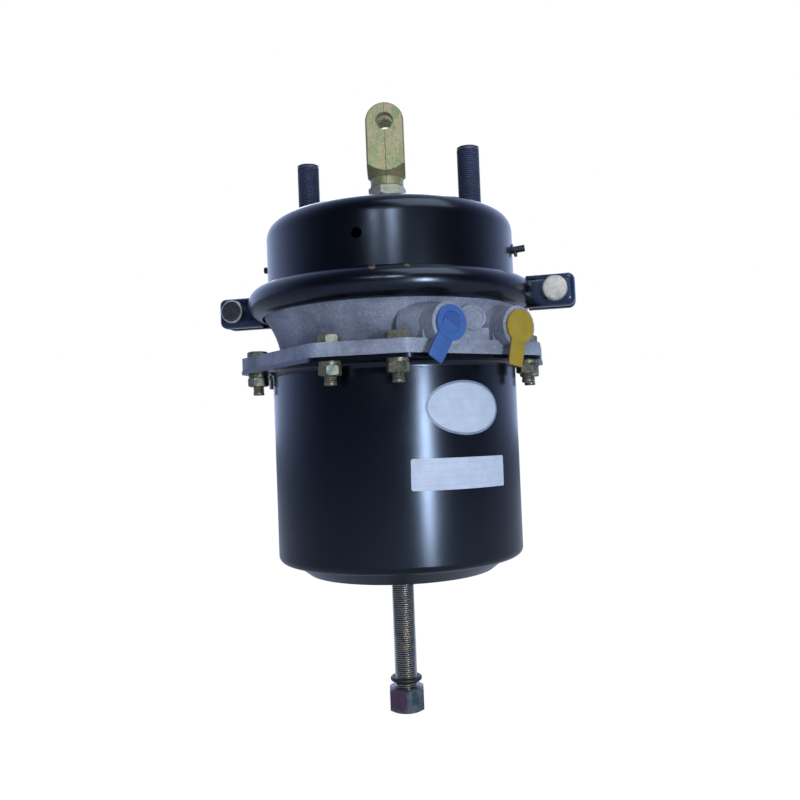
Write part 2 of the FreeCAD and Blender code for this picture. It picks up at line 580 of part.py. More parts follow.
def centre_body():
    """The cast body between the two chambers, with its floor, hub, flange and air ports."""
    waist = FLANGE_TOP + CONE_WAIST_RISE
    recess_top = FLOOR - FLOOR_THICKNESS
    spigot = CYLINDER_INNER - 2 * FIT
    neck = (CONE_NECK_RADIUS, LIP_BOTTOM - 4.0)
    bowl_edge = (BOWL_FLOOR_RADIUS, FLOOR)
    rim_edge = (BOWL_RIM_RADIUS, LIP_TOP)
    bowl_middle = (BOWL_MIDDLE_RADIUS, (LIP_TOP + FLOOR) / 2 - 1.0)
    body = turned([
        line((TUBE_BORE, FLOOR), bowl_edge),
        bend(bowl_edge, bowl_middle, rim_edge),
        line(rim_edge, (LIP_RADIUS, LIP_TOP)),
        line((LIP_RADIUS, LIP_TOP), (LIP_RADIUS, LIP_BOTTOM)),
        line((LIP_RADIUS, LIP_BOTTOM), (CONE_NECK_RADIUS + 1.0, LIP_BOTTOM)),
        line((CONE_NECK_RADIUS + 1.0, LIP_BOTTOM), neck),
        bend(neck, (CONE_WAIST_RADIUS, waist), (CONE_FOOT_RADIUS, FLANGE_TOP)),
        line((CONE_FOOT_RADIUS, FLANGE_TOP), (CONE_FOOT_RADIUS, FLANGE_BOTTOM)),
        line((CONE_FOOT_RADIUS, FLANGE_BOTTOM), (spigot, FLANGE_BOTTOM)),
        line((spigot, FLANGE_BOTTOM), (spigot, BODY_BOTTOM)),
        line((spigot, BODY_BOTTOM), (spigot - SPIGOT_WIDTH, BODY_BOTTOM)),
        line((spigot - SPIGOT_WIDTH, BODY_BOTTOM), (spigot - SPIGOT_WIDTH, recess_top)),
        line((spigot - SPIGOT_WIDTH, recess_top), (HUB_RADIUS + HUB_DRAFT, recess_top)),
        line((HUB_RADIUS + HUB_DRAFT, recess_top), (HUB_RADIUS, BODY_BOTTOM)),
        line((HUB_RADIUS, BODY_BOTTOM), (TUBE_BORE, BODY_BOTTOM)),
        line((TUBE_BORE, BODY_BOTTOM), (TUBE_BORE, FLOOR)),
    ])
    plate = flange_plate(FLANGE_BOTTOM, FLANGE_TOP, 0.0).cut(rod(CONE_FOOT_RADIUS - 1, -200, 0))
    pad = Part.makeCylinder(PAD_HEIGHT / 2, PAD_REACH - CONE_FOOT_RADIUS + 4, V(0, 0, CONE_FOOT_RADIUS - 4))
    stretch = FreeCAD.Matrix()
    stretch.scale(PAD_WIDTH / PAD_HEIGHT, 1, 1)
    pad = moved(pad.transformGeometry(stretch), 0, PORT_DROP - PAD_DROP, 0)
    field = Part.makeCylinder(PAD_HEIGHT / 2 - PAD_RIM, 10, V(0, 0, PAD_REACH - PAD_RECESS))
    stretch = FreeCAD.Matrix()
    stretch.scale((PAD_WIDTH / 2 - PAD_RIM) / (PAD_HEIGHT / 2 - PAD_RIM), 1, 1)
    field = moved(field.transformGeometry(stretch), 0, PORT_DROP - PAD_DROP, 0)
    web = box(-PORT_SPREAD, PORT_SPREAD, -WEB_REACH, -CONE_FOOT_RADIUS + 8, FLANGE_BOTTOM, FLANGE_TOP + WEB_RISE)
    additions = [plate, port_solid(-PORT_SPREAD), port_solid(PORT_SPREAD), facing_port(pad, 0),
                 turned_about(web, PORT_AZIMUTH), flange_side_pad()]
    body = body.fuse(additions)
    bowl = turned([
        line((0, FLOOR), bowl_edge),
        bend(bowl_edge, bowl_middle, rim_edge),
        line(rim_edge, (BOWL_RIM_RADIUS, 0)),
        line((BOWL_RIM_RADIUS, 0), (0, 0)),
        line((0, 0), (0, FLOOR)),
    ])
    groove = ring(AIR_GROOVE_RADIUS + AIR_GROOVE_WIDTH / 2, AIR_GROOVE_RADIUS - AIR_GROOVE_WIDTH / 2,
                  FLOOR - AIR_GROOVE_DEPTH, FLOOR + 1)
    bush_seat = rod(TUBE_RADIUS + BUSH_WALL + 2 * FIT, BODY_BOTTOM - 1, BODY_BOTTOM + BUSH_LENGTH + 2 * FIT)
    down = rod(PASSAGE_DIAMETER / 2, BODY_BOTTOM - 1, -PORT_DROP)
    spring_end = math.sqrt(PASSAGE_RADIUS ** 2 - PORT_SPREAD ** 2)
    down = turned_about(moved(down, PORT_SPREAD, -spring_end, 0), PORT_AZIMUTH)
    service_end = math.sqrt(AIR_GROOVE_RADIUS ** 2 - PORT_SPREAD ** 2)
    cuts = [bowl, groove, bush_seat, port_bore(-PORT_SPREAD, service_end), port_bore(PORT_SPREAD, spring_end),
            down, seal_groove(), facing_port(field, 0)]
    cuts += [ring(TUBE_RADIUS + TUBE_SEAL_DEPTH + 2 * FIT, TUBE_RADIUS, low - FIT, high + FIT)
             for low, high in tube_seal_levels()]
    hole = rod(FLANGE_HOLE_DIAMETER / 2, FLANGE_BOTTOM - 1, FLANGE_TOP + 1)
    body = body.cut(cuts + at_flange_bolts(hole))
    return turned_about(body, BODY_CLOCK)


def flange_side_pad():
    """The raised blank pad on the flange's side below the ports, its upper corners cut."""
    low = FLANGE_BOTTOM
    high = FLANGE_TOP
    a = PLATE_PAD_START
    b = PLATE_PAD_END
    cut = PLATE_PAD_CUT
    points = [V(a, 0, low), V(b, 0, low), V(b, 0, high - cut), V(b - cut, 0, high), V(a + cut, 0, high),
              V(a, 0, high - cut)]
    face = Part.Face(Part.makePolygon(points + points[:1]))
    pad = moved(face.extrude(V(0, -PLATE_PAD_PROUD - 3, 0)), 0, -FLANGE_HALF + 3, 0)
    return turned_about(pad, PORT_AZIMUTH)


def seal_groove():
    """The groove for the flange seal round the spigot."""
    spigot = CYLINDER_INNER - 2 * FIT
    return ring(spigot + 1, spigot - 2.3, BODY_BOTTOM + 1.0, BODY_BOTTOM + 3.6)


def flange_seal():
    """The sealing ring between the spigot and the cylinder wall."""
    section = (CYLINDER_INNER - 1.2, BODY_BOTTOM + 2.3)
    return Part.makeTorus(section[0], 1.15, V(0, 0, section[1]))


def tube_seal_levels():
    """The (low, high) levels of the two seals round the piston tube."""
    first = BODY_BOTTOM + BUSH_LENGTH + 2.0
    return [(first + i * TUBE_SEAL_PITCH, first + i * TUBE_SEAL_PITCH + TUBE_SEAL_HEIGHT) for i in range(2)]


def tube_seals():
    """Two seals in the body's hub, round the piston tube."""
    return Part.Compound([ring(TUBE_RADIUS + TUBE_SEAL_DEPTH, TUBE_RADIUS + RUNNING, low, high)
                          for low, high in tube_seal_levels()])


def tube_bush():
    """The bush that guides the piston tube."""
    return ring(TUBE_RADIUS + BUSH_WALL, TUBE_RADIUS + RUNNING, BODY_BOTTOM + FIT, BODY_BOTTOM + BUSH_LENGTH)


def flange_bolts():
    """Eight hexagon bolts with their heads on the cast flange."""
    head = hexagon(FLANGE_BOLT_FLATS, 0, FLANGE_BOLT_HEAD, chamfer_high=1)
    bolt = head.fuse(chamfered_rod(FLANGE_BOLT_DIAMETER / 2, -FLANGE_BOLT_LENGTH, 0, 0.8, 0.0))
    bolt = moved(turned_about(bolt, FLANGE_BOLT_TURN), 0, 0, FLANGE_TOP)
    return turned_about(Part.Compound(at_flange_bolts(bolt)), BODY_CLOCK)


def spring_washers():
    """Split spring washers under the steel flange."""
    washer = ring(SPRING_WASHER_DIAMETER / 2, FLANGE_BOLT_DIAMETER / 2 + FIT,
                  STEEL_BOTTOM - SPRING_WASHER_HEIGHT, STEEL_BOTTOM)
    slot = box(-SPRING_WASHER_SLOT / 2, SPRING_WASHER_SLOT / 2, 0, SPRING_WASHER_DIAMETER,
               STEEL_BOTTOM - SPRING_WASHER_HEIGHT - 1, STEEL_BOTTOM + 1)
    return turned_about(Part.Compound(at_flange_bolts(washer.cut(slot))), BODY_CLOCK)


def flange_nuts():
    """Nuts below the spring washers."""
    top = STEEL_BOTTOM - SPRING_WASHER_HEIGHT
    nut = hexagon(FLANGE_BOLT_FLATS, top - FLANGE_NUT_HEIGHT, top, chamfer_low=1, chamfer_high=1)
    bore = rod(FLANGE_BOLT_DIAMETER / 2 + FIT, top - FLANGE_NUT_HEIGHT - 1, top + 1)
    nut = turned_about(nut, FLANGE_BOLT_TURN).cut(bore)
    return turned_about(Part.Compound(at_flange_bolts(nut)), BODY_CLOCK)


def spring_cylinder():
    """The drawn steel cylinder round the power spring, with its flange and dished base."""
    outer = CYLINDER_RADIUS
    inner = CYLINDER_INNER
    fillet = CYLINDER_FLANGE_FILLET
    corner = (outer - CYLINDER_CORNER, CYLINDER_BASE + BASE_DISH_DEPTH + CYLINDER_CORNER)
    inside_corner = CYLINDER_CORNER - CYLINDER_WALL
    corner_out = (corner[0], corner[1] - CYLINDER_CORNER)
    corner_in = (corner[0], corner[1] - inside_corner)
    ledge_out = (corner[0] - BASE_LEDGE_WIDTH, corner_out[1])
    dish_slope = math.hypot(BASE_DISH_RUN, BASE_DISH_DEPTH)
    shift = CYLINDER_WALL * (dish_slope - BASE_DISH_RUN) / BASE_DISH_DEPTH
    ledge_in = (ledge_out[0] - shift, corner_in[1])
    base_edge = (ledge_out[0] - BASE_DISH_RUN, CYLINDER_BASE)
    floor_edge = (ledge_in[0] - BASE_DISH_RUN, CYLINDER_FLOOR)
    hole = INSERT_RADIUS + FIT
    fillet_centre = (outer + fillet, STEEL_BOTTOM - fillet)
    cup = turned([
        line((inner, FLANGE_BOTTOM), (outer + fillet, FLANGE_BOTTOM)),
        line((outer + fillet, FLANGE_BOTTOM), (outer + fillet, STEEL_BOTTOM)),
        bend((outer + fillet, STEEL_BOTTOM), on_circle(fillet_centre, fillet, 135), (outer, fillet_centre[1])),
        line((outer, fillet_centre[1]), (outer, corner[1])),
        bend((outer, corner[1]), on_circle(corner, CYLINDER_CORNER, -45), corner_out),
        line(corner_out, ledge_out),
        line(ledge_out, base_edge),
        line(base_edge, (hole, CYLINDER_BASE)),
        line((hole, CYLINDER_BASE), (hole, CYLINDER_FLOOR)),
        line((hole, CYLINDER_FLOOR), floor_edge),
        line(floor_edge, ledge_in),
        line(ledge_in, corner_in),
        bend(corner_in, on_circle(corner, inside_corner, -45), (inner, corner[1])),
        line((inner, corner[1]), (inner, FLANGE_BOTTOM)),
    ])
    plate = flange_plate(STEEL_BOTTOM, FLANGE_BOTTOM, CYLINDER_FLANGE_OVERHANG)
    cylinder = cup.fuse(plate.cut(rod(outer + 1, -200, 0)))
    hole = rod(FLANGE_HOLE_DIAMETER / 2, STEEL_BOTTOM - 1, FLANGE_BOTTOM + 1)
    return turned_about(cylinder.cut(at_flange_bolts(hole)), BODY_CLOCK)


def threaded_insert():
    """The threaded bush in the cylinder's base that the release bolt runs in."""
    low = CYLINDER_BASE - INSERT_PROUD
    return ring(INSERT_RADIUS, BOLT_RADIUS + RUNNING, low, low + INSERT_LENGTH)


def push_plate():
    """The pressed plate that the diaphragm lifts."""
    plate = rod(PLATE_RADIUS, PLATE_BOTTOM, PLATE_TOP)
    rim = ring(PLATE_RADIUS, PLATE_RADIUS - PLATE_THICKNESS, PLATE_BOTTOM, PLATE_TOP + PLATE_RIM)
    return plate.fuse(rim).removeSplitter()


def push_rod():
    """The push rod, standing on the plate."""
    foot = turned_points([(0, PLATE_TOP), (ROD_RADIUS + 4, PLATE_TOP), (ROD_RADIUS, PLATE_TOP + 4), (0, PLATE_TOP + 4)])
    return foot.fuse(chamfered_rod(ROD_RADIUS, PLATE_TOP, ROD_TOP, 0.0, 1.5)).removeSplitter()


def clevis():
    """The forged clevis: two rounded ears on a turned neck."""
    half = CLEVIS_WIDTH / 2
    blank = box(-half, half, -CLEVIS_DEPTH / 2, CLEVIS_DEPTH / 2, CLEVIS_FOOT, PIN_HEIGHT)
    tip = Part.makeCylinder(half, CLEVIS_DEPTH, V(0, -CLEVIS_DEPTH / 2, PIN_HEIGHT), V(0, 1, 0))
    blank = blank.fuse(tip).removeSplitter()
    rims = [e for e in blank.Edges if e.BoundBox.YLength < 0.01 and e.BoundBox.ZMax > CLEVIS_FOOT + 1]
    blank = blank.makeChamfer(CLEVIS_EDGE, rims)
    corner = math.hypot(half, CLEVIS_DEPTH / 2) + 1
    top = PIN_HEIGHT + half + 1
    cone_end = CLEVIS_CONE_START + (corner - CLEVIS_NECK_RADIUS)
    envelope = turned_points([(0, CLEVIS_FOOT), (CLEVIS_NECK_RADIUS, CLEVIS_FOOT),
                              (CLEVIS_NECK_RADIUS, CLEVIS_CONE_START), (corner, cone_end), (corner, top), (0, top)])
    body = blank.common(envelope)
    slot = box(-half - 1, half + 1, -CLEVIS_SLOT / 2, CLEVIS_SLOT / 2, CLEVIS_SLOT_FLOOR, top)
    thread = rod(ROD_RADIUS + FIT, CLEVIS_FOOT - 1, CLEVIS_SLOT_FLOOR + 1)
    pin = Part.makeCylinder(PIN_HOLE_DIAMETER / 2, 2 * CLEVIS_DEPTH, V(0, -CLEVIS_DEPTH, PIN_HEIGHT), V(0, 1, 0))
    return turned_about(body.cut([slot, thread, pin]), CLEVIS_TURN)


def lock_nut():
    """The nut that locks the clevis on the push rod."""
    low = CLEVIS_FOOT - LOCK_NUT_HEIGHT
    nut = hexagon(LOCK_NUT_FLATS, low, CLEVIS_FOOT, chamfer_low=1, chamfer_high=1)
    nut = nut.cut(rod(ROD_RADIUS + FIT, low - 1, CLEVIS_FOOT + 1))
    return turned_about(nut, LOCK_NUT_TURN)


def coil(wire, low, high, foot_radius, head_radius, turns):
    """A coil spring between two levels, its wire drawn with many flat sides and its ends ground flat."""
    path_low = low + wire * 0.3
    height = high - low - wire * 0.6
    taper = math.degrees(math.atan((foot_radius - head_radius) / height))
    if taper:
        path = Part.makeLongHelix(height / turns, height, foot_radius, -taper)
    else:
        path = Part.makeLongHelix(height / turns, height, foot_radius)
    path.translate(V(0, 0, path_low))
    corners = [V(foot_radius + wire / 2 * math.cos(2 * math.pi * i / WIRE_SIDES), 0,
                 path_low + wire / 2 * math.sin(2 * math.pi * i / WIRE_SIDES)) for i in range(WIRE_SIDES)]
    sweep = Part.BRepOffsetAPI.MakePipeShell(Part.Wire(path.Edges))
    sweep.setBiNormalMode(V(0, 0, 1))
    sweep.add(Part.makePolygon(corners + corners[:1]))
    sweep.build()
    sweep.makeSolid()
    return sweep.shape().common(rod(foot_radius + 2 * wire, low, high))


def return_spring():
    """The conical spring that sends the push rod back."""
    return coil(RETURN_WIRE, PLATE_TOP + SEAT, -HOUSING_WALL - SEAT, RETURN_FOOT_RADIUS, RETURN_HEAD_RADIUS,
                RETURN_TURNS)


def power_spring():
    """The power spring, held compressed between the piston and the base."""
    return coil(POWER_WIRE, CYLINDER_FLOOR + SEAT, PISTON_UNDER - SEAT, POWER_RADIUS, POWER_RADIUS, POWER_TURNS)


def brake_piston():
    """The spring brake piston, caged at the bottom of its travel."""
    inner = PISTON_RADIUS - PISTON_SKIRT_WALL
    piston = turned_points([
        (TUBE_RADIUS + FIT, PISTON_TOP), (PISTON_RADIUS - 1.5, PISTON_TOP), (PISTON_RADIUS, PISTON_TOP - 1.5),
        (PISTON_RADIUS, PISTON_FOOT), (inner, PISTON_FOOT), (inner, PISTON_UNDER - 3), (inner - 3, PISTON_UNDER),
        (PISTON_HUB_RADIUS + 2, PISTON_UNDER), (PISTON_HUB_RADIUS, LEDGE_BOTTOM),
        (BOLT_RADIUS + 1, LEDGE_BOTTOM), (BOLT_RADIUS + 1, LEDGE_TOP), (TUBE_RADIUS + FIT, LEDGE_TOP),
    ])
    grooves = [ring(PISTON_RADIUS + 1, PISTON_RADIUS - depth, PISTON_TOP - drop - height, PISTON_TOP - drop)
               for drop, height, depth in ((PISTON_SEAL_DROP, PISTON_SEAL_HEIGHT, PISTON_SEAL_DEPTH),
                                           (GUIDE_DROP, GUIDE_HEIGHT, GUIDE_DEPTH))]
    return piston.cut(grooves)


def piston_ring(drop, height, depth):
    """A ring in one of the piston's grooves that runs on the cylinder wall."""
    return ring(CYLINDER_INNER - RUNNING, PISTON_RADIUS - depth + FIT,
                PISTON_TOP - drop - height + FIT, PISTON_TOP - drop - FIT)


def piston_seal():
    """The piston's air seal."""
    return piston_ring(PISTON_SEAL_DROP, PISTON_SEAL_HEIGHT, PISTON_SEAL_DEPTH)


def piston_guide():
    """The piston's guide ring."""
    return piston_ring(GUIDE_DROP, GUIDE_HEIGHT, GUIDE_DEPTH)


def piston_tube():
    """The tube that carries the piston's push through the body."""
    return ring(TUBE_RADIUS, TUBE_INNER, LEDGE_TOP, TUBE_TOP)


def tube_cap():
    """The thrust cap on top of the piston tube."""
    return chamfered_rod(TUBE_RADIUS, TUBE_TOP, CAP_TOP, 0.0, 1.0)


def thrust_washer():
    """The washer under the release bolt's inner head."""
    return ring(TUBE_INNER - 2 * RUNNING, BOLT_RADIUS + RUNNING, LEDGE_TOP, HEAD_BOTTOM - RUNNING)


def release_bolt():
    """The release bolt, wound out so that its inner head cages the piston."""
    head = chamfered_rod(BOLT_HEAD_RADIUS, HEAD_BOTTOM, HEAD_TOP, 0.0, 1.5)
    shank = chamfered_rod(BOLT_RADIUS, HEX_BOTTOM + 0.6, HEAD_BOTTOM, 1.2, 0.0)
    return head.fuse(shank).removeSplitter()


def release_hex():
    """The hexagon fixed on the outer end of the release bolt."""
    nut = hexagon(HEX_FLATS, HEX_BOTTOM, HEX_TOP, chamfer_low=1, chamfer_high=1)
    nut = nut.cut(rod(BOLT_RADIUS + FIT, HEX_BOTTOM - 1, HEX_TOP + 1))
    return turned_about(nut, HEX_TURN)


def release_o_ring():
    """The dust ring that lies on the bolt above the hexagon."""
    section = O_RING_SECTION / 2
    return Part.makeTorus(BOLT_RADIUS + FIT + section, section, V(0, 0, O_RING_CENTRE))


def port_cap(sideways, tab_turn, recess):
    """A push-in dust cap with a pull tab that hangs down over the flange."""
    disc = rod(CAP_RADIUS, PORT_FACE + FIT, PORT_FACE + CAP_THICKNESS)
    stem = rod(PORT_SEAT_RADIUS - SEAT, PORT_FACE - PORT_SEAT_DEPTH + SEAT, PORT_FACE + FIT)
    tab = box(-CAP_TAB_WIDTH / 2, CAP_TAB_WIDTH / 2, -CAP_TAB_LENGTH, 0, PORT_FACE + FIT,
              PORT_FACE + FIT + CAP_TAB_THICKNESS)
    cap = disc.fuse([stem, turned_about(tab, -tab_turn)])
    if recess:
        cap = cap.cut(rod(CAP_RECESS_RADIUS, PORT_FACE + CAP_THICKNESS - CAP_RECESS_DEPTH, PORT_FACE + 9))
    return turned_about(facing_port(cap, sideways), BODY_CLOCK)


def port_cap_blue():
    """The cap on the service port."""
    return port_cap(-PORT_SPREAD, BLUE_TAB_TURN, True)


def port_cap_yellow():
    """The cap on the spring brake port."""
    return port_cap(PORT_SPREAD, YELLOW_TAB_TURN, False)


PARTS = [
    mounting_studs, service_housing, vent_plug, breathers, dust_guard, diaphragm, clamp_front, clamp_rear,
    clamp_bolts, clamp_nuts, centre_body, flange_seal, tube_seals, tube_bush, flange_bolts, spring_washers,
    flange_nuts, spring_cylinder, threaded_insert, push_plate, push_rod, clevis, lock_nut, return_spring,
    power_spring, brake_piston, piston_seal, piston_guide, piston_tube, tube_cap, thrust_washer, release_bolt,
    release_hex, release_o_ring, port_cap_blue, port_cap_yellow,
]


def main():
    """Builds every piece and writes one STEP file for each."""
    os.makedirs("parts", exist_ok=True)
    for make in PARTS:
        shape = make()
        shape.exportStep(os.path.join("parts", make.__name__ + ".step"))
        print(make.__name__, "solids", len(shape.Solids), "valid", shape.isValid(),
              "volume", round(shape.Volume, 1), "closed", all(s.isClosed() for s in shape.Solids))


main()
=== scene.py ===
"""The looks of a spring brake chamber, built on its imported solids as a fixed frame."""

import logging
import math
from contextlib import contextmanager
from dataclasses import dataclass, field
from enum import Enum
from typing import Callable, Iterator

import bmesh
import bpy
from mathutils import Matrix, Vector


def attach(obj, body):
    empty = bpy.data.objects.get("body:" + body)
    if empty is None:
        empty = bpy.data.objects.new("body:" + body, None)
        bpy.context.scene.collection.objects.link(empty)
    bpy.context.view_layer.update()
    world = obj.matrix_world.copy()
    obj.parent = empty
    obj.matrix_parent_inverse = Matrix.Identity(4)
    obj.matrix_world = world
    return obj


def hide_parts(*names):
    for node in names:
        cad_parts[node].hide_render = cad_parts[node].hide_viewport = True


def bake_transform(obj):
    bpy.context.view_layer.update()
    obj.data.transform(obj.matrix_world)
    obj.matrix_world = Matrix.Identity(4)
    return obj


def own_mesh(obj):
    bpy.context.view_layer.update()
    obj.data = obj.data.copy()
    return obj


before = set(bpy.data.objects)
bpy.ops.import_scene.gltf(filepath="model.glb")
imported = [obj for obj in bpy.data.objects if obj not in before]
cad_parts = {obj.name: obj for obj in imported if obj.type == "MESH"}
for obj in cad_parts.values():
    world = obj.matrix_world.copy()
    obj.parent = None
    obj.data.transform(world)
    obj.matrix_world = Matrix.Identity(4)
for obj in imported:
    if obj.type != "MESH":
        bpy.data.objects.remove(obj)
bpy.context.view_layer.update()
log = logging.getLogger("brake_chamber")

Colour = tuple[float, float, float]
Point = tuple[float, float, float]
Spot = tuple[float, float, float, float]
Stops = tuple[tuple[float, Colour], ...]
Object = bpy.types.Object
Material = bpy.types.Material
Socket = bpy.types.NodeSocket
MM = 0.001
WHITE = (1.0, 1.0, 1.0)
SAME_POINT = 0.002 * MM
BOLT_CIRCLE = 98.5
# Depth of a thread and where its crest starts and ends, as shares of the pitch.
THREAD_DEPTH = 0.54
CREST_SHARES = (0.42, 0.58)
# How far a head's shank runs into its thread, in mm.
CUT_OVERLAP = 1.0


class Body(Enum):
    """The bodies that the new pieces ride on."""

    CHAMBER = "chamber"
    BOLT = "bolt"
    BLUE_CAP = "blue_cap"
    YELLOW_CAP = "yellow_cap"


def around(radius: float, azimuth: float, height: float) -> Vector:
    """A point in metres from a radius in mm, an azimuth from the front towards +X, and a height in mm."""
    a = math.radians(azimuth)
    return Vector((radius * math.sin(a), -radius * math.cos(a), height)) * MM


# Materials


class Tree:
    """A node tree, with short calls for the nodes that finishes and the world share."""

    def __init__(self, tree: bpy.types.NodeTree) -> None:
        """Takes the tree that the nodes go into."""
        self.tree = tree

    def node(self, kind: str, **settings: object) -> bpy.types.Node:
        """Adds a node.

        Args:
            kind: Its type.
            settings: Its properties.

        Returns:
            The node.
        """
        made = self.tree.nodes.new(kind)
        for key, value in settings.items():
            setattr(made, key, value)
        return made

    def feed(self, target: Socket, source: object) -> None:
        """Links a socket to another, or sets its value.

        Args:
            target: The socket.
            source: A socket, a number or a colour.
        """
        if isinstance(source, Socket):
            self.tree.links.new(source, target)
        elif isinstance(source, (tuple, list)) and len(source) == 3 and target.type == "RGBA":
            target.default_value = (*source, 1.0)
        else:
            target.default_value = source

    def wire(self, kind: str, output: str | int, inputs: dict[str | int, object],
             **settings: object) -> Socket:
        """Adds a node and feeds it.

        Args:
            kind: Its type.
            output: Name or number of the output that is read.
            inputs: What its inputs are fed with, by name or number.
            settings: Its properties.

        Returns:
            The output.
        """
        made = self.node(kind, **settings)
        for key, source in inputs.items():
            self.feed(made.inputs[key], source)
        return made.outputs[output]

    def axis(self, vector: Socket, name: str) -> Socket:
        """The X, Y or Z of a vector."""
        return self.wire("ShaderNodeSeparateXYZ", name, {0: vector})

    def sum(self, operation: str, first: object, second: object = 0.0) -> Socket:
        """An arithmetic operation on one or two fields."""
        return self.wire("ShaderNodeMath", 0, {0: first, 1: second}, operation=operation)

    def times(self, first: object, second: object) -> Socket:
        """The product of two fields."""
        return self.sum("MULTIPLY", first, second)

    def span(self, source: Socket, low: float, high: float, start: float, end: float) -> Socket:
        """A field mapped from low..high to start..end and held there."""
        return self.wire("ShaderNodeMapRange", "Result", {"Value": source, "From Min": low, "From Max": high,
                                                          "To Min": start, "To Max": end})

    def ramp(self, source: Socket, *stops: tuple[float, Colour]) -> Socket:
        """Colours read from a field.

        Args:
            source: The field.
            stops: Positions and colours in order.

        Returns:
            The colour.
        """
        made = self.node("ShaderNodeValToRGB")
        elements = made.color_ramp.elements
        elements[0].position = stops[0][0]
        elements[-1].position = stops[-1][0]
        for position, _ in stops[1:-1]:
            elements.new(position)
        for element, (_, colour) in zip(elements, stops):
            element.color = (*colour, 1.0)
        self.feed(made.inputs["Fac"], source)
        return made.outputs["Color"]

    def mix_shaders(self, factor: Socket, first: Socket, second: Socket) -> Socket:
        """Two shaders mixed by a factor."""
        return self.wire("ShaderNodeMixShader", 0, {0: factor, 1: first, 2: second})


class Sheet(Tree):
    """The material of one finish, with the patterns that the finishes share."""

    def __init__(self, name: str) -> None:
        """Starts an empty finish with a Principled shader.

        Args:
            name: The material's name.
        """
        self.material = bpy.data.materials.new(name)
        self.material.use_nodes = True
        super().__init__(self.material.node_tree)
        self.shader = self.tree.nodes["Principled BSDF"]
        self.place = self.wire("ShaderNodeTexCoord", "Object", {})
        self.tone: Socket | Colour = WHITE

    def stretched(self, scale: Point, turn: float = 0.0) -> Socket:
        """The object's coordinates, turned about Z and then scaled.

        Args:
            scale: Scale along each axis.
            turn: Turn in degrees.

        Returns:
            The coordinates.
        """
        turn_inputs = {"Vector": self.place, "Rotation": (0.0, 0.0, math.radians(-turn))}
        turned = self.wire("ShaderNodeMapping", 0, turn_inputs)
        return self.wire("ShaderNodeMapping", 0, {"Vector": turned, "Scale": scale})

    def noise(self, scale: float, detail: float = 3.0, rough: float = 0.55, twist: float = 0.0,
              vector: Socket | None = None) -> Socket:
        """A noise field.

        Args:
            scale: Features per metre.
            detail: Octaves of finer noise.
            rough: Weight of the finer octaves.
            twist: How far the field is distorted.
            vector: Coordinates, or the object's own.

        Returns:
            The field, about 0.5 on average.
        """
        return self.wire("ShaderNodeTexNoise", "Fac", {
            "Vector": vector or self.place, "Scale": scale, "Detail": detail, "Roughness": rough,
            "Distortion": twist})

    def patches(self, scale: float, detail: float, rough: float, low: float, high: float, start: float,
                end: float) -> Socket:
        """Noise of a scale, detail and roughness, mapped from low..high to start..end."""
        return self.span(self.noise(scale, detail, rough), low, high, start, end)

    def cells(self, scale: float) -> Socket:
        """Distances to the nearest of scattered points, with that many cells per metre."""
        return self.wire("ShaderNodeTexVoronoi", "Distance", {"Vector": self.place, "Scale": scale})

    def blend(self, factor: object, first: object, second: object) -> Socket:
        """Two colours mixed by a factor."""
        return self.wire("ShaderNodeMix", 2, {0: factor, 6: first, 7: second}, data_type="RGBA")

    def tint(self, factor: object, colour: Colour) -> None:
        """Lays a colour over the tone by a factor."""
        self.tone = self.blend(factor, self.tone, colour)

    def near(self, spots: tuple[Spot, ...], ragged: float) -> Socket:
        """A mask of spots on the surface.

        Args:
            spots: Centre in mm and radius in mm of each spot.
            ragged: How ragged the edges are, as a share of the radius.

        Returns:
            1 inside a spot and 0 outside.
        """
        edge = self.times(self.sum("SUBTRACT", self.noise(900, 4), 0.5), ragged)
        total: object = 0.0
        for x, y, z, radius in spots:
            gap = self.wire("ShaderNodeVectorMath", "Value", {0: self.place, 1: (x * MM, y * MM, z * MM)},
                            operation="DISTANCE")
            share = self.sum("DIVIDE", gap, radius * MM)
            spot = self.span(self.sum("ADD", share, edge), 0.75, 1.0, 1.0, 0.0)
            total = self.sum("MAXIMUM", total, spot)
        return total

    def bump(self, height: Socket, depth: float, strength: float, under: Socket | None = None) -> Socket:
        """A normal bumped by a height field, by a depth in metres and a strength, over another normal."""
        inputs = {"Height": height, "Distance": depth, "Strength": strength}
        return self.wire("ShaderNodeBump", 0, inputs | ({"Normal": under} if under else {}))

    def wear(self, scale: float) -> Socket:
        """Where edges stick out, broken up by noise: 1 on a worn edge, 0 on flats."""
        edge = self.span(self.wire("ShaderNodeNewGeometry", "Pointiness", {}), 0.52, 0.6, 0.0, 1.0)
        return self.times(edge, self.patches(scale, 4, 0.55, 0.45, 0.6, 0.0, 1.0))

    def dress(self, **sockets: object) -> Material:
        """Feeds the tone and more to the shader.

        Args:
            sockets: The sockets, with underscores.

        Returns:
            The material.
        """
        for key, source in {"Base_Color": self.tone, **sockets}.items():
            self.feed(self.shader.inputs[key.replace("_", " ")], source)
        return self.material


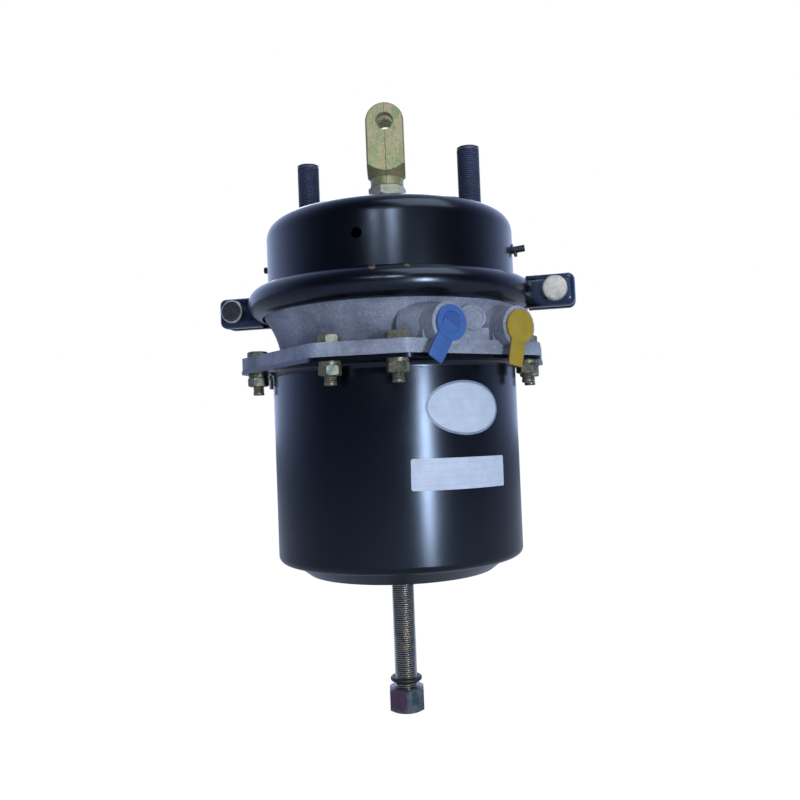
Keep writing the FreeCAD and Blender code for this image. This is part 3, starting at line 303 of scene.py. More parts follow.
@dataclass(frozen=True)
class Enamel:
    """Sprayed black enamel on pressed steel, with orange peel, dust, a few chips down to primer and, where
    given, spots of painted bluish sheen.
    """

    name: str
    colour: Colour = (0.0008, 0.0009, 0.0018)
    roughness: float = 0.215
    chips: tuple[Spot, ...] = ()
    dusty: tuple[Spot, ...] = ()
    # Spots of painted bluish sheen, which stand in for reflected light.
    painted_sheen: tuple[Spot, ...] = ()

    def material(self) -> Material:
        """Builds the enamel.

        Returns:
            The material.
        """
        sheet = Sheet(self.name)
        cloudy = tuple(c * 1.7 for c in self.colour)
        sheet.tone = sheet.ramp(sheet.noise(22, 5, 0.6), (0.3, self.colour), (0.75, cloudy))
        sheet.tint(sheet.patches(300, 6, 0.7, 0.66, 0.85, 0.0, 0.04), (0.05, 0.055, 0.07))
        rough = sheet.patches(30, 3, 0.5, 0.3, 0.75, self.roughness, self.roughness + 0.05)
        specks = sheet.span(sheet.cells(95), 0.0, 0.035, 0.6, 0.0)
        # Painted sheen: the given spots are lightened to a bluish tone that stands in for reflected light.
        if self.painted_sheen:
            sheet.tint(sheet.near(self.painted_sheen, 0.3), (0.009, 0.017, 0.045))
        if self.dusty:
            cover = sheet.patches(500, 5, 0.55, 0.4, 0.7, 0, 0.7)
            grime = sheet.times(sheet.near(self.dusty, 1.6), cover)
            sheet.tint(grime, (0.055, 0.038, 0.022))
            rough = sheet.sum("ADD", rough, sheet.times(grime, 0.35))
        if self.chips:
            chip = sheet.near(self.chips, 1.3)
            sheet.tint(chip, (0.13, 0.085, 0.045))
            rough = sheet.sum("ADD", rough, sheet.times(chip, 0.4))
        peel = sheet.bump(sheet.noise(330, 2, 0.4), 0.00003, 0.3)
        normal = sheet.bump(specks, 0.0001, 0.4, peel)
        return sheet.dress(Roughness=rough, Normal=normal, Specular_IOR_Level=0.5,
                           Specular_Tint=(0.64, 0.77, 1.0))


@dataclass(frozen=True)
class PaintedSteel:
    """Thin dark blue-black paint over threads, dull in the grooves and rubbed on the crests."""

    name: str = "dark_thread_paint"
    colour: Colour = (0.021, 0.029, 0.058)

    def material(self) -> Material:
        """Builds the thread paint.

        Returns:
            The material.
        """
        sheet = Sheet(self.name)
        sheet.tone = self.colour
        sheet.tint(sheet.patches(90, 4, 0.55, 0.35, 0.7, 0, 1), tuple(c * 1.5 for c in self.colour))
        sheet.tint(sheet.times(sheet.wear(1200), 0.5), (0.11, 0.12, 0.15))
        rough = sheet.patches(300, 4, 0.55, 0.3, 0.7, 0.36, 0.55)
        normal = sheet.bump(sheet.noise(1500, 3), 0.00004, 0.5)
        return sheet.dress(Roughness=rough, Normal=normal, Specular_IOR_Level=0.5)


@dataclass(frozen=True)
class CastAlloy:
    """Sand-textured cast alloy, blasted, with darker cloudy patches, light and dark grains and pits."""

    name: str = "cast_alloy"
    light: Colour = (0.3, 0.325, 0.4)
    dark: Colour = (0.12, 0.132, 0.172)

    def material(self) -> Material:
        """Builds the cast surface.

        Returns:
            The material.
        """
        sheet = Sheet(self.name)
        cloud = sheet.noise(28, 6, 0.65)
        grain = sheet.noise(1400, 5, 0.7)
        sheet.tone = sheet.ramp(cloud, (0.34, self.dark), (0.62, self.light))
        sandy = sheet.noise(620, 4, 0.75)
        sheet.tint(sheet.span(sandy, 0.42, 0.62, 0.36, 0.0), (0.09, 0.1, 0.14))
        sheet.tint(sheet.span(sandy, 0.58, 0.7, 0.0, 0.38), (0.5, 0.53, 0.62))
        pits = sheet.span(sheet.cells(150), 0.03, 0.07, 1.0, 0.0)
        sheet.tint(sheet.times(pits, 0.35), (0.05, 0.052, 0.065))
        rough = sheet.span(grain, 0.3, 0.7, 0.5, 0.68)
        sand = sheet.bump(grain, 0.00016, 0.45)
        dents = sheet.bump(sheet.noise(190, 4, 0.6), 0.0004, 0.3, sand)
        normal = sheet.bump(pits, 0.0002, 0.35, dents)
        return sheet.dress(Roughness=rough, Normal=normal, Metallic=0.25)


class Brushing(Enum):
    """Which way the fine scratches of a plated piece run."""

    UPRIGHT = (2600.0, 2600.0, 90.0)
    NONE = (900.0, 900.0, 900.0)


@dataclass(frozen=True)
class PlatedZinc:
    """Yellow-passivated zinc plating: olive gold with green and pink bloom, finely scratched, with painted
    shade at a thread's roots where asked.
    """

    name: str
    stops: Stops
    brushing: Brushing = Brushing.NONE
    roughness: float = 0.38
    metallic: float = 0.45
    seam_turn: float | None = None
    shine: float = 0.2
    flecks: float = 0.5
    # Radii in mm over which a thread's roots get painted shade.
    grooves: tuple[float, float] | None = None
    marks: tuple[tuple[tuple[Spot, ...], Colour], ...] = ()

    def material(self) -> Material:
        """Builds the plating.

        Returns:
            The material.
        """
        sheet = Sheet(self.name)
        bloom = sheet.noise(95, 4, 0.6, 1.2)
        sheet.tone = sheet.ramp(bloom, *self.stops)
        scratch = sheet.noise(1.0, 3, 0.6, 0.0, sheet.stretched(self.brushing.value, self.seam_turn or 0.0))
        sheet.tint(sheet.span(scratch, 0.4, 0.7, 0.0, self.shine), (0.6, 0.58, 0.46))
        fleck = sheet.noise(1100, 4, 0.75)
        sheet.tint(sheet.span(fleck, 0.56, 0.68, 0.0, self.shine * 1.6), (0.62, 0.6, 0.42))
        sheet.tint(sheet.span(fleck, 0.34, 0.46, self.flecks, 0.0), (0.06, 0.062, 0.03))
        sheet.tint(sheet.patches(420, 6, 0.7, 0.54, 0.7, 0.0, self.flecks), (0.07, 0.068, 0.045))
        rough = sheet.span(scratch, 0.25, 0.75, self.roughness - 0.07, self.roughness + 0.16)
        normal = sheet.bump(scratch, 0.00005, 0.5)
        if self.seam_turn is not None:
            flat = sheet.stretched((1000.0, 1000.0, 1000.0), self.seam_turn)
            wander = sheet.times(sheet.sum("SUBTRACT", sheet.noise(160, 2), 0.5), 0.8)
            across = sheet.sum("ABSOLUTE", sheet.sum("ADD", sheet.axis(flat, "X"), wander))
            seam = sheet.span(across, 0.12, 0.4, 1.0, 0.0)
            sheet.tint(sheet.times(seam, 0.6), (0.06, 0.055, 0.035))
            normal = sheet.bump(seam, -0.0002, 0.5, normal)
        # Painted shade: the roots of the thread, inside the given radii, are darkened.
        if self.grooves:
            parts = [sheet.axis(sheet.place, name) for name in "XY"]
            reach = sheet.sum("SQRT", sheet.sum("ADD", *(sheet.times(part, part) for part in parts)))
            painted_root_shade = sheet.span(reach, self.grooves[0] * MM, self.grooves[1] * MM, 0.95, 0.0)
            sheet.tint(painted_root_shade, (0.012, 0.013, 0.02))
        for spots, colour in self.marks:
            sheet.tint(sheet.times(sheet.near(spots, 1.0), 0.85), colour)
        return sheet.dress(Roughness=rough, Normal=normal, Metallic=self.metallic)


@dataclass(frozen=True)
class MachinedSteel:
    """Turned bright steel with fine tool rings and a little oil staining."""

    name: str = "machined_steel"
    colour: Colour = (0.42, 0.42, 0.44)

    def material(self) -> Material:
        """Builds the turned steel.

        Returns:
            The material.
        """
        sheet = Sheet(self.name)
        rings = sheet.noise(1.0, 2, 0.5, 0.0, sheet.stretched((60.0, 60.0, 3500.0)))
        sheet.tone = self.colour
        sheet.tint(sheet.patches(45, 5, 0.6, 0.5, 0.75, 0.0, 0.5), (0.2, 0.17, 0.12))
        rough = sheet.span(rings, 0.3, 0.7, 0.24, 0.4)
        return sheet.dress(Roughness=rough, Metallic=0.95, Normal=sheet.bump(rings, 0.00003, 0.6))


@dataclass(frozen=True)
class Moulded:
    """A moulded plastic or rubber surface with soft grain, slight mottling and its own gloss."""

    name: str
    colour: Colour
    roughness: float = 0.42
    mottle: float = 0.18
    grain: float = 1100.0
    relief: float = 0.00005
    dirt: float = 0.12
    soft: float = 0.0

    def material(self) -> Material:
        """Builds the moulded surface.

        Returns:
            The material.
        """
        sheet = Sheet(self.name)
        shade = tuple(c * (1.0 - self.mottle) for c in self.colour)
        sheet.tone = sheet.ramp(sheet.noise(120, 4, 0.6), (0.35, shade), (0.65, self.colour))
        sheet.tint(sheet.patches(260, 6, 0.7, 0.55, 0.8, 0.0, self.dirt), (0.12, 0.11, 0.1))
        grain = sheet.noise(self.grain, 3, 0.6)
        rough = sheet.span(grain, 0.3, 0.7, self.roughness - 0.05, self.roughness + 0.1)
        return sheet.dress(Roughness=rough, Normal=sheet.bump(grain, self.relief, 0.5),
                           Subsurface_Weight=self.soft, Subsurface_Scale=0.001)


@dataclass(frozen=True)
class LabelPaper:
    """Bare sticker film, pale bluish grey, slightly crumpled, with faint ruled lines."""

    name: str
    colour: Colour = (0.5, 0.56, 0.68)
    line_gap: float = 4.6
    line_strength: float = 0.3

    def material(self) -> Material:
        """Builds the sticker's surface.

        Returns:
            The material.
        """
        sheet = Sheet(self.name)
        shade = tuple(c * 0.84 for c in self.colour)
        sheet.tone = sheet.ramp(sheet.noise(110, 5, 0.65), (0.35, shade), (0.7, self.colour))
        row = sheet.sum("FRACT", sheet.sum("DIVIDE", sheet.axis(sheet.place, "Z"), self.line_gap * MM))
        ruled = sheet.span(sheet.sum("ABSOLUTE", sheet.sum("SUBTRACT", row, 0.5)), 0.03, 0.06, 1.0, 0.0)
        faint = sheet.patches(500, 4, 0.55, 0.4, 0.6, 0.1, self.line_strength)
        sheet.tint(sheet.times(ruled, faint), (0.16, 0.18, 0.24))
        crumple = sheet.bump(sheet.noise(150, 4, 0.55, 0.8), 0.0004, 0.5)
        rough = sheet.patches(300, 3, 0.55, 0.3, 0.7, 0.45, 0.6)
        return sheet.dress(Roughness=rough, Normal=crumple, Specular_IOR_Level=0.3)


def nut_spots(azimuth: float, marks: tuple[Point, ...]) -> tuple[Spot, ...]:
    """Spots on the outer side of a flange nut.

    Args:
        azimuth: The bolt's azimuth.
        marks: Shift to the right, height and radius of each spot, in mm.

    Returns:
        The spots about the object's origin.
    """
    face_turn, face_reach = 17.0, 6.6
    face = around(BOLT_CIRCLE, azimuth, 0.0) + around(face_reach, face_turn, 0.0)
    spots = []
    for shift, height, radius in marks:
        centre = (face + around(shift, face_turn + 90.0, height)) / MM
        spots.append((centre.x, centre.y, centre.z, radius))
    return tuple(spots)


GOLD = ((0.36, (0.1, 0.2, 0.07)), (0.45, (0.2, 0.2, 0.075)), (0.56, (0.27, 0.235, 0.095)),
        (0.66, (0.36, 0.17, 0.17)))
PALE = ((0.32, (0.2, 0.21, 0.15)), (0.5, (0.3, 0.3, 0.23)), (0.7, (0.36, 0.29, 0.25)))
# Head tones below: the light set paints the right clamp bolt head as lit and the dark set paints shade on the
# left head; both heads are the same zinc plating.
LIT_HEAD_TONES = ((0.32, (0.3, 0.28, 0.25)), (0.5, (0.47, 0.44, 0.4)), (0.7, (0.55, 0.48, 0.41)))
DARK_GOLD = ((0.34, (0.04, 0.05, 0.038)), (0.48, (0.09, 0.085, 0.055)), (0.58, (0.15, 0.135, 0.09)),
             (0.7, (0.22, 0.13, 0.14)))
SHADED_HEAD_TONES = ((0.32, (0.012, 0.014, 0.022)), (0.5, (0.035, 0.04, 0.058)), (0.7, (0.07, 0.07, 0.08)))
BOLT_BRASS = ((0.34, (0.3, 0.31, 0.35)), (0.5, (0.42, 0.4, 0.37)), (0.66, (0.55, 0.48, 0.34)))
HEX_GREY = ((0.32, (0.05, 0.06, 0.09)), (0.5, (0.09, 0.1, 0.15)), (0.68, (0.13, 0.13, 0.17)))
TEAL = (0.015, 0.07, 0.068)
MAROON = (0.1, 0.045, 0.09)
STRIPE = ((-1.2, -115.4, 1.5), (-0.4, -114.0, 1.6), (0.5, -112.6, 1.6), (1.4, -111.2, 1.6),
          (2.3, -109.9, 1.5))
SIDE = ((4.8, -111.0, 2.6), (5.2, -113.6, 2.6), (4.6, -109.0, 2.0))
NUT_MARKS = (nut_spots(-10.4, STRIPE) + nut_spots(14.6, SIDE) + nut_spots(79.6, SIDE)
             + nut_spots(284.6, ((-1.0, -112.5, 2.0), (-2.0, -114.5, 1.4))))
HEX_MARKS = ((((-3.5, -11.5, -341.0, 8.5),), MAROON),
             (((8.0, -9.0, -342.0, 3.6), (7.4, -9.5, -337.5, 2.6)), TEAL))
SKY = ((0.05, (0.02, 0.025, 0.036)), (0.3, (0.035, 0.044, 0.066)), (0.42, (0.08, 0.1, 0.16)),
       (0.57, (0.22, 0.28, 0.45)), (0.68, (0.36, 0.45, 0.72)), (0.845, (0.5, 0.62, 0.95)),
       (1.0, (0.6, 0.7, 1.0)))


@dataclass
class Finishes:
    """Every finish of the brake chamber, built once and shared."""

    made: dict[str, Material] = field(default_factory=dict)

    def build(self) -> None:
        """Builds all the finishes by their short names."""
        enamel = Enamel("black_enamel_paint")
        # The clamp's ears get spots of painted bluish sheen.
        clamp = Enamel("clamp_enamel_paint", chips=((11.5, -97.3, -52.6, 3.2), (32.3, -92.5, -51.4, 2.4)),
                       painted_sheen=((-119.0, -12.0, -59.0, 24.0), (121.0, -12.0, -59.0, 20.0)))
        dome = Enamel("dome_enamel_paint", dusty=((62.0, -38.0, 0.0, 13.0), (34.0, -50.0, 0.0, 8.0)))
        looks = {
            "enamel": enamel,
            "clamp": clamp,
            "dome": dome,
            "thread_paint": PaintedSteel(),
            "alloy": CastAlloy(),
            "clevis": PlatedZinc("clevis_plating", GOLD, Brushing.UPRIGHT, 0.4, 0.35, 12.0, 0.3),
            "pale_plating": PlatedZinc("lock_nut_plating", PALE, Brushing.NONE, 0.34, 0.45),
            "fastener": PlatedZinc("fastener_plating", DARK_GOLD),
            "marked_nut": PlatedZinc("marked_nut_plating", DARK_GOLD, marks=((NUT_MARKS, TEAL),)),
            # Lit and shaded copies of one plating for the clamp bolt heads: painted light and painted shade.
            "lit_head": PlatedZinc("lit_head_plating", LIT_HEAD_TONES, Brushing.NONE, 0.42, 0.3),
            "shaded_head": PlatedZinc("shaded_head_plating", SHADED_HEAD_TONES, Brushing.NONE, 0.34, 0.6, shine=0.12),
            # The release bolt's thread roots get painted shade.
            "release": PlatedZinc("release_bolt_plating", BOLT_BRASS, Brushing.UPRIGHT, 0.25, 0.85,
                                  shine=0.05, flecks=0.05, grooves=(7.3, 7.8)),
            "hex": PlatedZinc("release_hex_plating", HEX_GREY, Brushing.NONE, 0.34, 0.5, shine=0.12,
                              marks=HEX_MARKS),
            "steel": MachinedSteel(),
            "spring": PaintedSteel("spring_coating", (0.02, 0.021, 0.026)),
            "rubber": Moulded("black_rubber", (0.01, 0.011, 0.017), 0.5, 0.3, 700, 0.0001, 0.12),
            "black_plastic": Moulded("black_nylon", (0.01, 0.012, 0.022), 0.4),
            "white_plastic": Moulded("white_nylon", (0.62, 0.61, 0.57), 0.45, 0.1),
            "blue_plastic": Moulded("blue_polythene", (0.022, 0.077, 0.25), 0.5, 0.12, dirt=0.05, soft=0.1),
            # A darker blue for the sunk middle of the blue cap: painted shade in the recess.
            "blue_painted_recess_shade": Moulded("blue_polythene_painted_recess_shade", (0.015, 0.052, 0.22), 0.55, 0.15, dirt=0.06,
                                   soft=0.1),
            "yellow_plastic": Moulded("yellow_polythene", (0.25, 0.17, 0.007), 0.5, 0.12, dirt=0.04,
                                      soft=0.1),
            "label": LabelPaper("sticker_film", (0.42, 0.46, 0.56)),
            "oval_label": LabelPaper("oval_sticker_film", (0.4, 0.45, 0.54), 5.4, 0.16),
            "label_rim": Moulded("sticker_rim", (0.16, 0.19, 0.27), 0.4, 0.2),
        }
        for name, finish in looks.items():
            self.made[name] = finish.material()

    def __getitem__(self, name: str) -> Material:
        """The material of a finish."""
        return self.made[name]


# Modelling steps


def take(obj: Object) -> None:
    """Makes an object the only selected and active one.

    Args:
        obj: The object.
    """
    bpy.ops.object.select_all(action="DESELECT")
    obj.select_set(True)
    bpy.context.view_layer.objects.active = obj


@contextmanager
def editing(obj: Object) -> Iterator[None]:
    """Edit mode on one object, with nothing selected at first.

    Args:
        obj: The object.

    Yields:
        Control, while in edit mode.
    """
    take(obj)
    bpy.ops.object.mode_set(mode="EDIT")
    bpy.ops.mesh.select_all(action="DESELECT")
    yield
    bpy.ops.object.mode_set(mode="OBJECT")


def pick_all() -> None:
    """Selects the whole mesh, in edit mode."""
    bpy.ops.mesh.select_all(action="SELECT")


def pick(obj: Object, kind: str, test: Callable[[object], bool]) -> None:
    """Selects only the elements that pass a test, in edit mode.

    Args:
        obj: The object.
        kind: VERT, EDGE or FACE.
        test: Whether an element is picked.
    """
    bpy.ops.mesh.select_mode(type=kind)
    bpy.ops.mesh.select_all(action="DESELECT")
    mesh = bmesh.from_edit_mesh(obj.data)
    for element in {"VERT": mesh.verts, "EDGE": mesh.edges, "FACE": mesh.faces}[kind]:
        element.select_set(test(element))
    bmesh.update_edit_mesh(obj.data)


def mark_picked(obj: Object) -> None:
    """Gives the selected faces the second material and the others the first, in edit mode.

    Args:
        obj: The object.
    """
    mesh = bmesh.from_edit_mesh(obj.data)
    for face in mesh.faces:
        face.material_index = int(face.select)
    bmesh.update_edit_mesh(obj.data)


def apply_all(obj: Object) -> None:
    """Applies every modifier of an object.

    Args:
        obj: The object.
    """
    take(obj)
    for modifier in list(obj.modifiers):
        bpy.ops.object.modifier_apply(modifier=modifier.name)


def settle(obj: Object) -> None:
    """Moves an object's place into its mesh."""
    take(obj)
    bpy.ops.object.transform_apply(location=True, rotation=True, scale=True)


def outward(obj: Object) -> None:
    """Merges doubled points and turns all faces outwards.

    Args:
        obj: The object.
    """
    with editing(obj):
        pick_all()
        bpy.ops.mesh.remove_doubles(threshold=SAME_POINT)
        bpy.ops.mesh.normals_make_consistent(inside=False)


def smooth(obj: Object, degrees: float = 35.0) -> None:
    """Smooth shading, kept sharp over that angle."""
    take(obj)
    bpy.ops.object.shade_smooth_by_angle(angle=math.radians(degrees))


def bevelled(obj: Object, width: float, segments: int = 2, degrees: float = 35.0) -> None:
    """Rounds an object's sharp edges.

    Args:
        obj: The object.
        width: Width of the rounding in mm.
        segments: Steps across it.
        degrees: The angle over which an edge is sharp.
    """
    modifier = obj.modifiers.new("rounding", "BEVEL")
    modifier.width = width * MM
    modifier.segments = segments
    modifier.limit_method = "ANGLE"
    modifier.angle_limit = math.radians(degrees)
    apply_all(obj)


def joined(pieces: list[Object], name: str) -> Object:
    """Joins objects into the first one.

    Args:
        pieces: The objects.
        name: The result's name.

    Returns:
        The joined object.
    """
    first = pieces[0]
    take(first)
    for piece in pieces[1:]:
        piece.select_set(True)
    if len(pieces) > 1:
        bpy.ops.object.join()
    first.name = first.data.name = name
    return first


def placed(name: str, data: bpy.types.ID) -> Object:
    """A new object in the scene.

    Args:
        name: Its name.
        data: Its mesh, lamp or camera.

    Returns:
        The object.
    """
    obj = bpy.data.objects.new(name, data)
    bpy.context.scene.collection.objects.link(obj)
    return obj


def twin(obj: Object, matrix: Matrix) -> Object:
    """A copy of an object with its own mesh.

    Args:
        obj: The object.
        matrix: Where its mesh is moved.

    Returns:
        The copy.
    """
    copy = placed(obj.name + "_copy", obj.data.copy())
    copy.data.transform(matrix)
    return copy


def solid_copy(node: str, name: str) -> Object:
    """A merged copy of a solid's mesh.

    Args:
        node: The solid.
        name: The copy's name.

    Returns:
        The copy.
    """
    copy = placed(name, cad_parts[node].data.copy())
    copy.data.name = name
    take(copy)
    bpy.ops.mesh.customdata_custom_splitnormals_clear()
    with editing(copy):
        pick_all()
        bpy.ops.mesh.remove_doubles(threshold=SAME_POINT)
    return copy


def cut_away(obj: Object, axis: str, at: float, way: int) -> None:
    """Cuts an object across an axis and drops one side, closed.

    Args:
        obj: The object.
        axis: X, Y or Z.
        at: Where it is cut, in mm.
        way: The side that goes: 1 above the cut, -1 below it.
    """
    normal = Vector([float(axis == name) for name in "XYZ"])
    with editing(obj):
        pick_all()
        bpy.ops.mesh.bisect(plane_co=normal * (at * MM), plane_no=normal * way, use_fill=True,
                            clear_outer=True)


def paint(obj: Object, *materials: Material) -> None:
    """Gives an object its materials.

    Args:
        obj: The object.
        materials: One for each slot.
    """
    while len(obj.data.materials) > len(materials):
        obj.data.materials.pop()
    while len(obj.data.materials) < len(materials):
        obj.data.materials.append(None)
    for i, material in enumerate(materials):
        obj.data.materials[i] = material


def dress_node(node: str, material: Material) -> None:
    """Gives a solid of the frame its finish.

    Args:
        node: The solid.
        material: The finish.
    """
    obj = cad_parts[node]
    if not obj.material_slots:
        obj.data.materials.append(material)
    for slot in obj.material_slots:
        slot.material = material
    log.info("%s: dressed with %s", node, material.name)


def finish_piece(obj: Object, body: Body, slot: str, *replaced: str) -> None:
    """Hands a finished piece to the frame.

    Args:
        obj: The piece, in place.
        body: The body that it rides on.
        slot: The record's material slot; not used.
        replaced: The solids that it stands for, which get its first material.
    """
    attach(obj, body.value)
    if replaced:
        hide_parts(*replaced)
    for node in replaced:
        dress_node(node, obj.data.materials[0])
    log.info("%s: %d faces on %s", obj.name, len(obj.data.polygons), body.value)


@dataclass(frozen=True)
class Thread:
    """A screw thread about Z: an edge profile swept up a helix, cut flat, over a chamfered core."""

    diameter: float
    pitch: float
    low: float
    high: float
    low_chamfer: float = 0.0
    high_chamfer: float = 0.0
    steps: int = 28

    def build(self, name: str) -> Object:
        """Makes the threaded bar in its place about the Z axis.

        Args:
            name: The object's name.

        Returns:
            The bar as one object.
        """
        crest = self.diameter / 2
        root = crest - THREAD_DEPTH * self.pitch
        bottom = self.low + self.low_chamfer
        top = self.high - self.high_chamfer
        bpy.ops.mesh.primitive_plane_add(size=1.0)
        ridge = bpy.context.object
        ridge.name = name
        with editing(ridge):
            pick(ridge, "VERT", lambda v: v.co.x > 0)
            bpy.ops.mesh.delete(type="VERT")
            pick_all()
            bpy.ops.mesh.subdivide(number_cuts=2)
            mesh = bmesh.from_edit_mesh(ridge.data)
            steps = ((root, 0.0), *((crest, share) for share in CREST_SHARES), (root, 1.0))
            for vertex, (radius, share) in zip(sorted(mesh.verts, key=lambda v: v.co.y), steps):
                vertex.co = Vector((radius, 0.0, bottom - self.pitch + share * self.pitch)) * MM
            bmesh.update_edit_mesh(ridge.data)
        screw = ridge.modifiers.new("helix", "SCREW")
        screw.axis = "Z"
        screw.screw_offset = self.pitch * MM
        screw.iterations = math.ceil((top - bottom) / self.pitch) + 2
        screw.steps = self.steps
        screw.render_steps = self.steps
        screw.use_merge_vertices = True
        screw.merge_threshold = SAME_POINT
        apply_all(ridge)
        outward(ridge)
        cut_away(ridge, "Z", top, 1)
        cut_away(ridge, "Z", bottom, -1)
        outward(ridge)
        pieces = [ridge]
        for chamfer, start, way in ((self.low_chamfer, bottom, -1), (self.high_chamfer, top, 1)):
            if chamfer:
                pieces.append(self.tip(crest, start, way * chamfer))
        bar = joined(pieces, name)
        smooth(bar, 50.0)
        return bar

    def tip(self, crest: float, start: float, run: float) -> Object:
        """A tapered end beyond the last turn.

        Args:
            crest: Radius of the thread's crest in mm.
            start: Height where the taper starts in mm.
            run: Signed length of the taper in mm.

        Returns:
            The end as an object.
        """
        inside = 1.0
        middle = start + (run - math.copysign(inside, run)) / 2
        bpy.ops.mesh.primitive_cylinder_add(vertices=40, radius=(crest - 0.1) * MM,
                                            depth=(abs(run) + inside) * MM, location=(0, 0, middle * MM))
        end = bpy.context.object
        settle(end)
        with editing(end):
            pick(end, "FACE", lambda f: abs(f.normal.z) > 0.9 and (f.normal.z > 0) == (run > 0))
            bpy.ops.mesh.inset(thickness=0.00005)
            pick(end, "EDGE", lambda e: abs(e.verts[0].co.z - e.verts[1].co.z) < 1e-7
                       and abs(e.verts[0].co.z - (start + run) * MM) < 1e-6
                       and min(v.co.xy.length for v in e.verts) > (crest - 0.12) * MM)
            bpy.ops.mesh.bevel(offset=abs(run) * 0.9 * MM, segments=3, affect="EDGES")
        return end


# Sub-assemblies


@dataclass
class Assembly:
    """A sub-assembly, dressed in the shared finishes."""

    finishes: Finishes

    def dress(self, **looks: str) -> None:
        """Gives solids of the frame their finishes, each by its node and the finish's short name."""
        for node, finish in looks.items():
            dress_node(node, self.finishes[finish])

    def coil(self, node: str, name: str) -> Object:
        """A smooth copy of a spring's solid, handed to the frame on the chamber.

        Args:
            node: The solid.
            name: The copy's name.

        Returns:
            The copy.
        """
        spring = solid_copy(node, name)
        smooth(spring, 50.0)
        paint(spring, self.finishes["spring"])
        finish_piece(spring, Body.CHAMBER, "spring_steel", node)
        return spring


@dataclass
class ServiceHousing(Assembly):
    """The pressed housing over the diaphragm, with its mounting studs and vents."""

    stud_spacing: float = 120.65
    stud_reach: float = 48.8
    stud_diameter: float = 16.0
    stud_pitch: float = 1.5

    def build(self) -> None:
        """Dresses the pressing and makes the studs."""
        self.dress(service_housing="dome", vent_plug="black_plastic", breathers="black_plastic",
                   dust_guard="rubber")
        self.studs()

    def studs(self) -> None:
        """Two fully threaded studs, painted with the housing."""
        bar = Thread(self.stud_diameter, self.stud_pitch, 0.0, self.stud_reach, high_chamfer=1.6)
        thread = bar.build("stud_thread")
        foot = solid_copy("mounting_studs", "stud_feet")
        cut_away(foot, "Z", 0.02, 1)
        smooth(foot)
        right = twin(thread, Matrix.Translation((self.stud_spacing / 2 * MM, 0, 0)))
        thread.data.transform(Matrix.Translation((-self.stud_spacing / 2 * MM, 0, 0)))
        studs = joined([thread, right, foot], "threaded_studs")
        paint(studs, self.finishes["thread_paint"])
        finish_piece(studs, Body.CHAMBER, "black_stud", "mounting_studs")


@dataclass
class ClampBand(Assembly):
    """The two clamp halves with their round-headed bolts and nuts."""

    diameter: float = 10.0
    pitch: float = 1.5
    thread_start: float = 2.0
    bolt_radius: float = 117.6
    ear_face: float = 12.6
    drop: float = 58.7
    tip: float = 38.6
    head_edge: float = -5.2

    def build(self) -> None:
        """Dresses the halves and makes the bolts."""
        self.dress(clamp_front="clamp", clamp_rear="enamel", clamp_nuts="fastener")
        self.bolts()

    def bolts(self) -> None:
        """Two bolts: the round heads of the solids, on threaded shanks that end behind the nuts."""
        bar = Thread(self.diameter, self.pitch, self.thread_start, self.tip, high_chamfer=1.0, steps=20)
        thread = bar.build("clamp_bolt_thread")
        thread.data.transform(Matrix.Rotation(math.radians(-90), 4, "X"))
        pieces = []
        for side in (-1, 1):
            place = Vector((side * self.bolt_radius, -self.ear_face, -self.drop)) * MM
            pieces.append(twin(thread, Matrix.Translation(place)))
        bpy.data.objects.remove(thread)
        heads = solid_copy("clamp_bolts", "clamp_bolt_heads")
        cut_away(heads, "Y", self.thread_start + CUT_OVERLAP - self.ear_face, 1)
        bevelled(heads, 0.5, 3)
        smooth(heads)
        bolts = joined([heads, *pieces], "round_head_bolts")
        # The right head takes the lit copy of the plating. The left head's face takes the dark copy, which is
        # painted shade, and its rim keeps the lit copy as a painted highlight.
        paint(bolts, self.finishes["lit_head"], self.finishes["shaded_head"])
        for face in bolts.data.polygons:
            rim = abs(face.normal.y) < 0.92 and face.center.y < (self.head_edge - self.ear_face) * MM
            face.material_index = int(face.center.x < 0 and not rim)
        finish_piece(bolts, Body.CHAMBER, "yellow_zinc", "clamp_bolts")


@dataclass
class FlangeBolts(Assembly):
    """The eight bolts that hold the spring cylinder under the cast body."""

    diameter: float = 8.0
    pitch: float = 1.25
    plain_shank: float = 8.0
    spread: float = 12.5
    clock: float = 2.1
    head_seat: float = -95.8
    length: float = 26.2

    def build(self) -> None:
        """Dresses the nuts and washers and makes the bolts."""
        self.dress(flange_nuts="marked_nut", spring_washers="fastener")
        self.bolts()

    def azimuths(self) -> list[float]:
        """The azimuths of the eight bolts."""
        return [start + side * self.spread + self.clock for start in (0, 90, 180, 270) for side in (-1, 1)]

    def bolts(self) -> None:
        """Hexagon heads from the solids, on threaded shanks."""
        tip = self.head_seat - self.length
        start = self.head_seat - self.plain_shank
        thread = Thread(self.diameter, self.pitch, tip, start, 0.8, steps=20).build("flange_bolt_thread")
        shanks = [twin(thread, Matrix.Translation(around(BOLT_CIRCLE, a, 0.0))) for a in self.azimuths()]
        bpy.data.objects.remove(thread)
        heads = solid_copy("flange_bolts", "flange_bolt_heads")
        cut_away(heads, "Z", start - CUT_OVERLAP, -1)
        smooth(heads, 25.0)
        bolts = joined([heads, *shanks], "hex_flange_bolts")
        paint(bolts, self.finishes["fastener"])
        finish_piece(bolts, Body.CHAMBER, "yellow_zinc", "flange_bolts")


